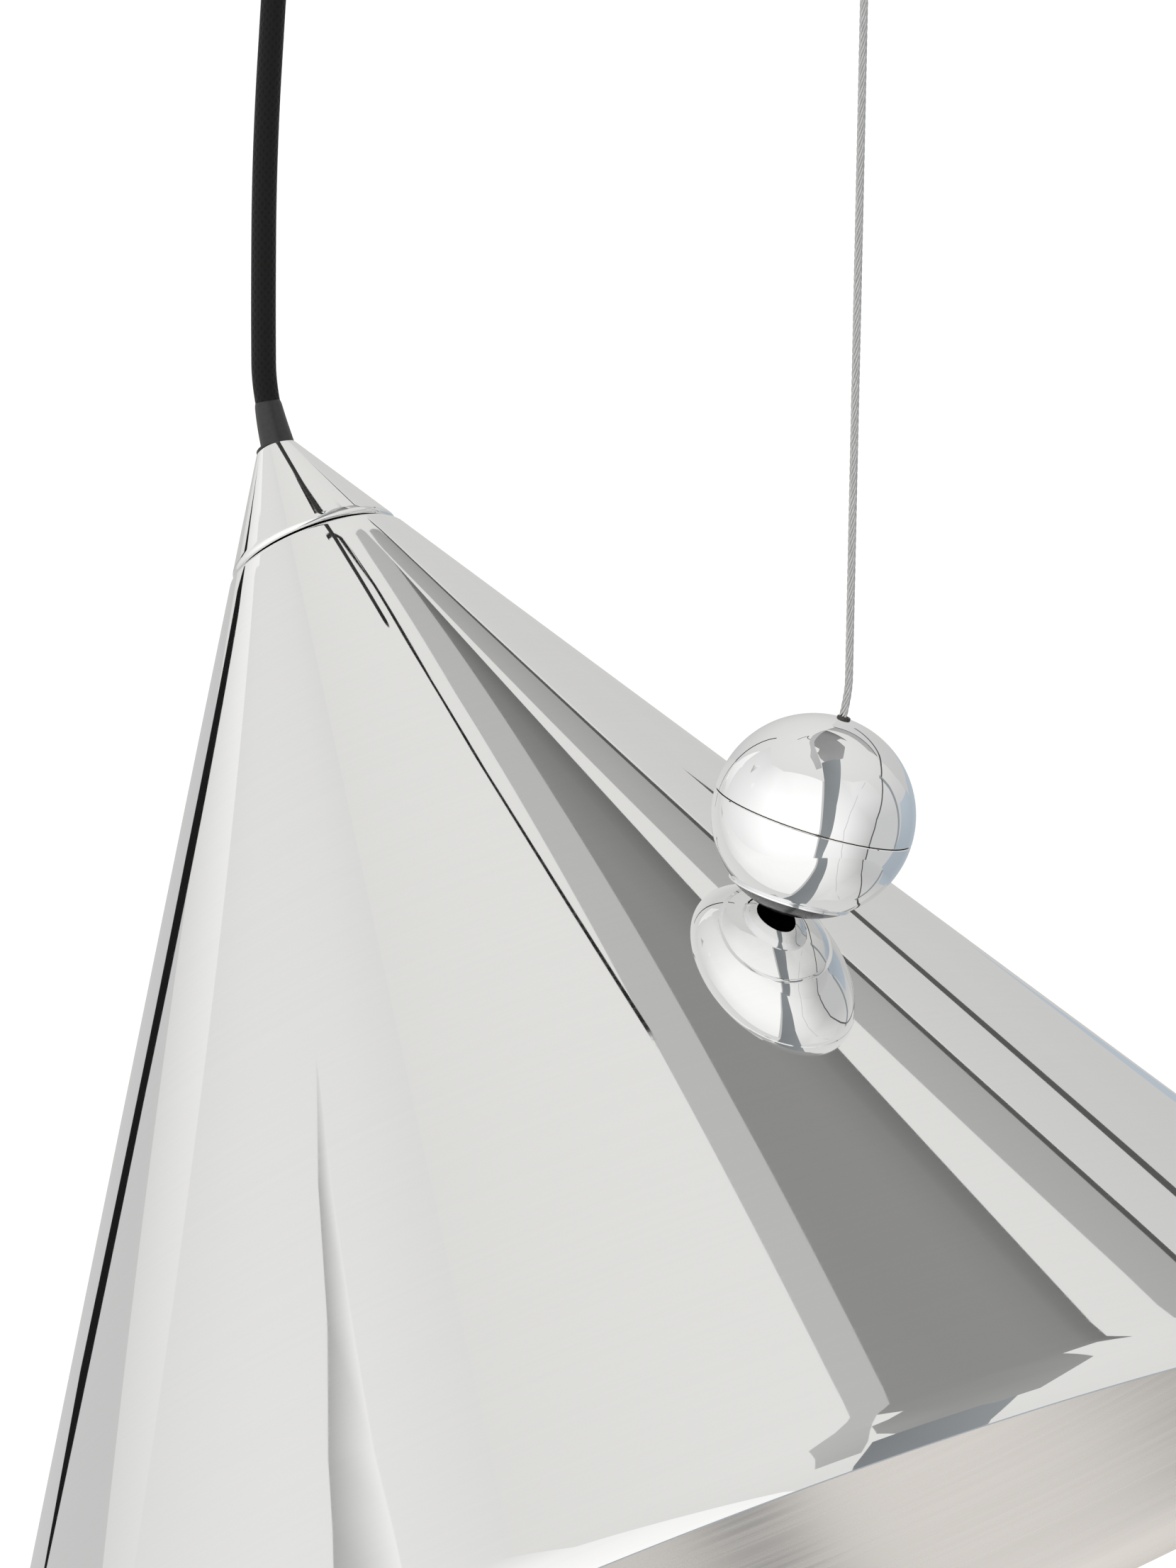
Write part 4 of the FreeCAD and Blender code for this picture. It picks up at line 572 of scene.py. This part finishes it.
def braid_finish():
    """Black yarn: two sets of ribbons crossing at a slant, each with its own fibres. The UV's
    turn and distance add up to the two slants, each a triangle wave, and the higher one is on
    top. The colour is darker where the weave dips, painted shade in its grooves, with fibre noise
    on it."""
    finish = bpy.data.materials.new("braided_sleeve")
    finish.use_nodes = True
    nodes, links = finish.node_tree.nodes, finish.node_tree.links
    shader = nodes["Principled BSDF"]
    where = nodes.new("ShaderNodeUVMap")
    where.uv_map = "round_and_along"
    heights = []
    for slant in (1, -1):
        mapped = nodes.new("ShaderNodeMapping")
        mapped.inputs["Scale"].default_value = (RIBBONS_ROUND, slant * RIBBONS_ALONG, 1.0)
        split_uv = nodes.new("ShaderNodeSeparateXYZ")
        total = nodes.new("ShaderNodeMath")
        total.operation = "ADD"
        wave = nodes.new("ShaderNodeMath")
        wave.operation = "PINGPONG"
        wave.inputs[1].default_value = 0.5
        links.new(where.outputs["UV"], mapped.inputs["Vector"])
        links.new(mapped.outputs["Vector"], split_uv.inputs[0])
        links.new(split_uv.outputs["X"], total.inputs[0])
        links.new(split_uv.outputs["Y"], total.inputs[1])
        links.new(total.outputs[0], wave.inputs[0])
        heights.append(wave)
    top = nodes.new("ShaderNodeMath")
    top.operation = "MAXIMUM"
    links.new(heights[0].outputs[0], top.inputs[0])
    links.new(heights[1].outputs[0], top.inputs[1])
    fibre = nodes.new("ShaderNodeTexNoise")
    fibre.inputs["Scale"].default_value = 3.0
    fibre.inputs["Detail"].default_value = 4.0
    fibre_map = nodes.new("ShaderNodeMapping")
    fibre_map.inputs["Scale"].default_value = (60, 2.2, 1)
    links.new(where.outputs["UV"], fibre_map.inputs["Vector"])
    links.new(fibre_map.outputs["Vector"], fibre.inputs["Vector"])
    height = nodes.new("ShaderNodeMath")
    height.operation = "MULTIPLY_ADD"
    height.inputs[1].default_value = 0.35
    links.new(fibre.outputs["Fac"], height.inputs[0])
    links.new(top.outputs[0], height.inputs[2])
    # Painted shade: the colour follows the weave's height, so the low grooves between ribbons are
    # darker.
    tone = nodes.new("ShaderNodeValToRGB")
    tone.color_ramp.elements[0].position, tone.color_ramp.elements[1].position = 0.25, 0.85
    tone.color_ramp.elements[0].color = (0.003, 0.003, 0.003, 1)
    tone.color_ramp.elements[1].color = (0.010, 0.0095, 0.0095, 1)
    raised = nodes.new("ShaderNodeBump")
    raised.inputs["Strength"].default_value = 0.7
    raised.inputs["Distance"].default_value = 0.0003
    links.new(height.outputs[0], tone.inputs["Fac"])
    links.new(height.outputs[0], raised.inputs["Height"])
    links.new(tone.outputs["Color"], shader.inputs["Base Color"])
    links.new(raised.outputs["Normal"], shader.inputs["Normal"])
    shader.inputs["Roughness"].default_value = 0.7
    shader.inputs["Specular IOR Level"].default_value = 0.22
    shader.inputs["Sheen Weight"].default_value = 0.08
    shader.inputs["Sheen Roughness"].default_value = 0.45
    return finish


def braid_lift(turn, distance):
    """Two slanted rows of ribbons: the higher of two rounded waves, with a count of ribbons each
    way round, and 0.42 of a ribbon passed for each millimetre along."""
    phase = RIBBONS_ROUND * turn / (2 * np.pi)
    travel = RIBBONS_ALONG * 1000 * distance
    rows = [np.abs(((phase + way * travel) % 1.0) - 0.5) * 2 for way in (1, -1)]
    return RIBBON_HEIGHT * (1 - np.minimum(rows[0], rows[1]) ** 2) - RIBBON_SINK


ROUTE_STEP, CORD_RADIUS = 0.00045, 0.00335
cord_line, cord_heading, cord_at = smooth_line("cord_route", cord_points, ROUTE_STEP)
cord = swept("power_flex", cord_line, cord_heading, CORD_RADIUS, 96, braid_finish(), braid_lift,
             cord_at)
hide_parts("power_cord", "cord_tail")
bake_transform(cord)

# ---- Boot ----------------------------------------------------------------------------------
# Moulded black rubber round the cord where it enters the tip: a plug in the bore, then a taper
# laid along the cord's curve, over a thin rubber washer on the flat of the tip.
rubber = surface("black_rubber", (0.022, 0.021, 0.022), 0.42, 0.0, head, (900, 900, 900), 4.0,
                 0.25, 0.06, 0.15, 0.00004)
head_inverse = np.array(head.inverted())
cord_depth = -(cord_line @ head_inverse[2, :3] + head_inverse[2, 3])
boot_from = int(np.argmin(np.abs(cord_depth - 0.0155)))
boot_to = int(np.argmin(np.abs(cord_line[:, 2] + 0.1871)))
boot_line, boot_heading = cord_line[boot_from:boot_to], cord_heading[boot_from:boot_to]
boot_share = np.linspace(0, 1, len(boot_line))
TAPER_FROM, BOOT_RADIUS, BOOT_TAPER = 0.36, 0.00455, 0.00095
shoulder = np.clip((boot_share - TAPER_FROM) / (1 - TAPER_FROM), 0, 1)
boot_radius = BOOT_RADIUS - BOOT_TAPER * shoulder ** 1.15
boot_radius[-3:] -= np.array([0.00003, 0.00009, 0.0002])
boot = swept("boot_skin", boot_line, boot_heading, boot_radius, 72, rubber,
             at=cord_at[boot_from:boot_to])
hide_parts("cord_boot")
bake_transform(boot)
washer = revolved("boot_washer", rounded([(4.8, -9.3), (4.8, -8.5), (5.35, -8.5, 0.3),
                                          (5.35, -9.3)], 5), head, 96, [rubber])
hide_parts("boot_collar")
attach(washer, "shade")

# ---- Ball ----------------------------------------------------------------------------------
# Two plated half shells that meet in a hairline seam, screwed together on a rod; below, a bright
# trim ring and a black magnet foot that follows the sphere and rests on the shade. The foot's
# black skin is kept out of reflections, and a plated liner just inside it is what the shade
# mirrors in its place: a painted reflection.
ball_plate = surface("polished_ball", (0.915, 0.92, 0.925), 0.014, 1.0, ball,
                     (40, 40, 40), 2.0, 0.005, 0.006)
R_BALL, R_INNER, SEAM = 25.0, 23.5, 0.12
WIRE_HOLE, FOOT_PLANE, FOOT_TOP, R_FOOT = 1.75, 19.9, 20.4, 25.3


def bow(radius, low, high, steps):
    """Points (r, h) on a circle about the origin, between two angles up from the equator."""
    angle = np.radians(np.linspace(low, high, steps))
    return np.stack([radius * np.cos(angle), radius * np.sin(angle)], 1)


seam_angle = np.degrees(np.arcsin(SEAM / R_BALL))
top_angle = np.degrees(np.arccos(WIRE_HOLE / R_BALL))
top_inner = np.degrees(np.arccos(WIRE_HOLE / R_INNER))
foot_angle = np.degrees(np.arcsin(FOOT_PLANE / R_BALL))
foot_inner = np.degrees(np.arcsin(FOOT_PLANE / R_INNER))
lip = 0.22
upper = np.concatenate([bow(R_BALL - lip, seam_angle, seam_angle, 1),
                        bow(R_BALL, seam_angle + lip * 2.3, top_angle, 70),
                        bow(R_INNER, top_inner, seam_angle, 24)])
lower = np.concatenate([bow(R_BALL, -foot_angle, -seam_angle - lip * 2.3, 56),
                        bow(R_BALL - lip, -seam_angle, -seam_angle, 1),
                        bow(R_INNER, -seam_angle, -foot_inner, 20)])
for half_name, half, node_name in (("ball_top", upper, "ball_upper_shell"),
                                   ("ball_bottom", lower, "ball_lower_shell")):
    shell = revolved(half_name, half, ball, 256, [ball_plate], crease=20)
    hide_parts(node_name)
    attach(shell, "ball")

foot_black = surface("foot_black", (0.016, 0.016, 0.017), 0.20, 0.0, ball, (160, 160, 160), 4.0,
                     0.30, 0.07, 0.12, 0.00003)
foot_edge = np.degrees(np.arcsin(FOOT_TOP / R_FOOT))
foot = revolved("foot_skin", np.concatenate([
    [(0, -22.3), (10.05, -22.3), (10.05, -FOOT_TOP)],
    bow(R_FOOT, -foot_edge, -foot_edge, 1) - (0.35, 0),
    bow(R_FOOT, -foot_edge - 0.5, -89.9, 44), [(0, -R_FOOT)]]), ball, 192, [foot_black])
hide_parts("foot_cap")
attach(foot, "ball")
# Painted reflection: the black foot is hidden from reflections, so the shade mirrors the plated
# liner under it.
foot.visible_glossy = False
foot_reflection_stand_in = revolved("foot_reflection_stand_in", np.concatenate([
    bow(25.02, -89.9, -foot_edge - 1.2, 40), bow(25.14, -foot_edge - 1.2, -89.9, 40),
    [(0, -25.14), (0, -25.02)]]), ball, 192, [ball_plate])
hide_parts("foot_cap")
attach(foot_reflection_stand_in, "ball")
trim = revolved("foot_trim", rounded([
    (11.25, -FOOT_PLANE), (11.25, -FOOT_TOP), (15.45, -FOOT_TOP, 0.12),
    (15.45, -FOOT_PLANE, 0.15)], 4), ball, 192, [ball_plate])
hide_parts("foot_trim_ring")
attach(trim, "ball")

dark_steel = surface("blackened_steel", (0.075, 0.072, 0.070), 0.34, 0.9, ball,
                     (1500, 1500, 300), 3.0, 0.2, 0.08)
ferrule = revolved("ferrule_skin", rounded([
    (1.1, 20.3), (3.0, 20.3), (3.0, 21.8), (1.7, 21.8), (1.7, 25.6, 0.35),
    (1.1, 25.6, 0.2)], 5), ball, 64, [dark_steel])
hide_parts("wire_ferrule")
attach(ferrule, "ball")

# ---- Suspension wire -----------------------------------------------------------------------
# Stainless wire rope, 2 mm: six strands laid right-handed round a seventh, swaged to a stop in
# the ball and clamped in the gripper at the canopy.
wire_points = [(0.107759, -0.002677, -0.255885), (0.110586, 0, -0.242125),
               (0.110586, 0, -0.0535)]
wire_line, wire_heading, wire_at = smooth_line("wire_route", [
    wire_points[0], wire_points[1], (0.110587, 0.000001, -0.2300), (0.110586, 0, -0.180),
    (0.110587, 0, -0.117), wire_points[2]], ROUTE_STEP)
strand_steel = surface("drawn_strands", (0.50, 0.50, 0.495), 0.22, 1.0, upright,
                       (2600, 2600, 500), 3.0, 0.18, 0.08, 0.3, 0.00003)
LAY, STRAND_RING, STRAND = 0.0115, 0.00068, 0.00031
wire_first, wire_second = side_axes(wire_heading, (0, 1, 0))
sides = 10
ring_turn = np.linspace(0, 2 * np.pi, sides, endpoint=False)
spots, faces = [], []
for strand in range(7):
    angle = 2 * np.pi * wire_at / LAY + strand * np.pi / 3
    reach = 0.0 if strand == 6 else STRAND_RING
    centre = (wire_line + wire_first * (reach * np.cos(angle))[:, None]
              + wire_second * (reach * np.sin(angle))[:, None])
    slant = np.gradient(centre, axis=0)
    slant /= np.linalg.norm(slant, axis=1)[:, None]
    side_a, side_b = side_axes(slant, (0, 1, 0))
    rings = (centre[:, None] + STRAND * (side_a[:, None] * np.cos(ring_turn)[None, :, None]
                                         + side_b[:, None] * np.sin(ring_turn)[None, :, None]))
    base = strand * (len(wire_line) * sides)
    here, there = np.arange(sides), (np.arange(sides) + 1) % sides
    low = (base + np.arange(len(wire_line) - 1) * sides)[:, None]
    walls = np.stack([low + here, low + there, low + sides + there, low + sides + here], 2)
    spots.append(rings.reshape(-1, 3))
    faces.extend(walls.reshape(-1, 4).tolist())
    faces.append((base + here[::-1]).tolist())
    faces.append((base + (len(wire_line) - 1) * sides + here).tolist())
rope_mesh = bpy.data.meshes.new("wire_rope")
rope_mesh.from_pydata(np.concatenate(spots).tolist(), [], faces)
rope_mesh.materials.append(strand_steel)
rope_mesh.shade_smooth()
rope_mesh.set_sharp_from_angle(angle=radians(50))
rope = bpy.data.objects.new("wire_rope", rope_mesh)
bpy.context.scene.collection.objects.link(rope)
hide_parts("suspension_wire")
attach(rope, "wire")
rope.visible_glossy = False

# ---- Bulb ----------------------------------------------------------------------------------
# An opal globe blown with a short neck, cemented into a nickelled screw cap, and lit low.
neck_low = np.degrees(np.arccos(12.5 / 40.0))
neck_inner = np.degrees(np.arccos(11.5 / 39.0))
globe = np.concatenate([
    [(11.5, -99.0), (12.5, -99.0), (12.5, -108.0)], bow(40.0, neck_low, -89.9, 60) - (0, 158),
    [(0, -198.0), (0, -197.0)], bow(39.0, -89.9, neck_inner, 40) - (0, 158), [(11.5, -108.0)]])
opal = surface("opal_glass", (0.94, 0.92, 0.88), 0.28, 0.0, head, (30, 30, 30), 3.0, 0.015, 0.04)
opal_shader = opal.node_tree.nodes["Principled BSDF"]
opal_shader.inputs["Subsurface Weight"].default_value = 0.3
opal_shader.inputs["Subsurface Scale"].default_value = 0.004
opal_shader.inputs["Coat Weight"].default_value = 0.4
opal_shader.inputs["Emission Color"].default_value = (1.0, 0.86, 0.70, 1)
opal_shader.inputs["Emission Strength"].default_value = 0.9
bulb = revolved("bulb_skin", globe, head, 128, [opal])
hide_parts("bulb_glass")
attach(bulb, "bulb")

# ---- Turned brass, nickelled steel, plastics and porcelain ----------------------------------
# The stem, neck ring and contacts are turned brass; brackets, gripper and screws are nickelled
# steel; the lampholder is black moulded plastic round a white porcelain core.
dress(["neck_ring", "stem_nipple", "contact_shell", "centre_contact", "bulb_contact",
       "terminal_screws"],
      surface("turned_brass", (0.70, 0.52, 0.25), 0.28, 1.0, head, (60, 60, 2200), 3.0, 0.08,
              0.07, 0.15, 0.00002))
dress(["wire_boss", "shell_joint_ring"],
      surface("ball_brass", (0.70, 0.52, 0.25), 0.28, 1.0, ball, (60, 60, 2200), 3.0, 0.08,
              0.07, 0.15, 0.00002))
dress(["gripper_collet", "block_screws"],
      surface("collet_brass", (0.70, 0.52, 0.25), 0.30, 1.0, upright, (60, 60, 2000), 3.0, 0.08,
              0.07, 0.15, 0.00002))
dress(["bulb_base", "stem_nut"],
      surface("nickelled_head", (0.62, 0.61, 0.59), 0.26, 1.0, head, (60, 60, 1800), 3.0, 0.06,
              0.06, 0.2, 0.00003))
dress(["magnet_pot", "magnet_disc", "tie_rod"],
      surface("nickelled_ball", (0.72, 0.74, 0.77), 0.10, 1.0, ball, (60, 60, 1800), 3.0, 0.06,
              0.06, 0.15, 0.00002))
dress(["gripper_body", "gripper_plunger", "gripper_spring", "swivel_link", "link_pins",
       "wire_hanger"],
      surface("nickelled_turned", (0.66, 0.655, 0.64), 0.22, 1.0, upright, (80, 80, 2400), 3.0,
              0.05, 0.06, 0.12, 0.00002))
dress(["ceiling_plate", "cord_bracket", "clamp_screws", "cover_pillars"],
      surface("zinc_plate", (0.60, 0.61, 0.62), 0.34, 1.0, upright, (120, 1500, 120), 4.0, 0.10,
              0.10, 0.15, 0.00002))
dress(["canopy_cover"],
      surface("polished_canopy", (0.90, 0.90, 0.895), 0.03, 1.0, upright, (14, 500, 14), 2.0,
              0.01, 0.012))
dress(["cover_screws"],
      surface("polished_screws", (0.88, 0.885, 0.89), 0.08, 1.0, upright, (900, 900, 900), 2.0,
              0.04, 0.04))
dress(["wire_stop"],
      surface("swaged_steel", (0.11, 0.107, 0.105), 0.36, 0.9, ball, (1500, 1500, 300), 3.0,
              0.2, 0.08))
dress(["cord_bush"],
      surface("bush_rubber", (0.022, 0.021, 0.022), 0.45, 0.0, upright, (900, 900, 900), 4.0,
              0.25, 0.06, 0.15, 0.00004))
dress(["holder_cap", "holder_sleeve"],
      surface("moulded_black", (0.028, 0.027, 0.027), 0.46, 0.0, head, (1100, 1100, 1100), 4.0,
              0.18, 0.06, 0.25, 0.00004))
dress(["cord_saddle"],
      surface("saddle_black", (0.030, 0.029, 0.029), 0.48, 0.0, upright, (1100, 1100, 1100),
              4.0, 0.18, 0.06, 0.25, 0.00004))
dress(["bulb_insulator"],
      surface("black_vitrite", (0.012, 0.012, 0.018), 0.12, 0.0, head, (300, 300, 300), 3.0,
              0.3, 0.04))
dress(["holder_core"],
      surface("porcelain", (0.86, 0.84, 0.79), 0.16, 0.0, head, (240, 240, 240), 4.0, 0.03,
              0.05, 0.05, 0.00002))
dress(["terminal_block"],
      surface("moulded_white", (0.82, 0.82, 0.79), 0.42, 0.0, upright, (900, 900, 900), 3.0,
              0.03, 0.06, 0.1, 0.00003))
dress(["lamp_leads"],
      surface("lead_insulation", (0.20, 0.085, 0.035), 0.40, 0.0, head, (500, 500, 60), 3.0,
              0.15, 0.06, 0.1, 0.00003))
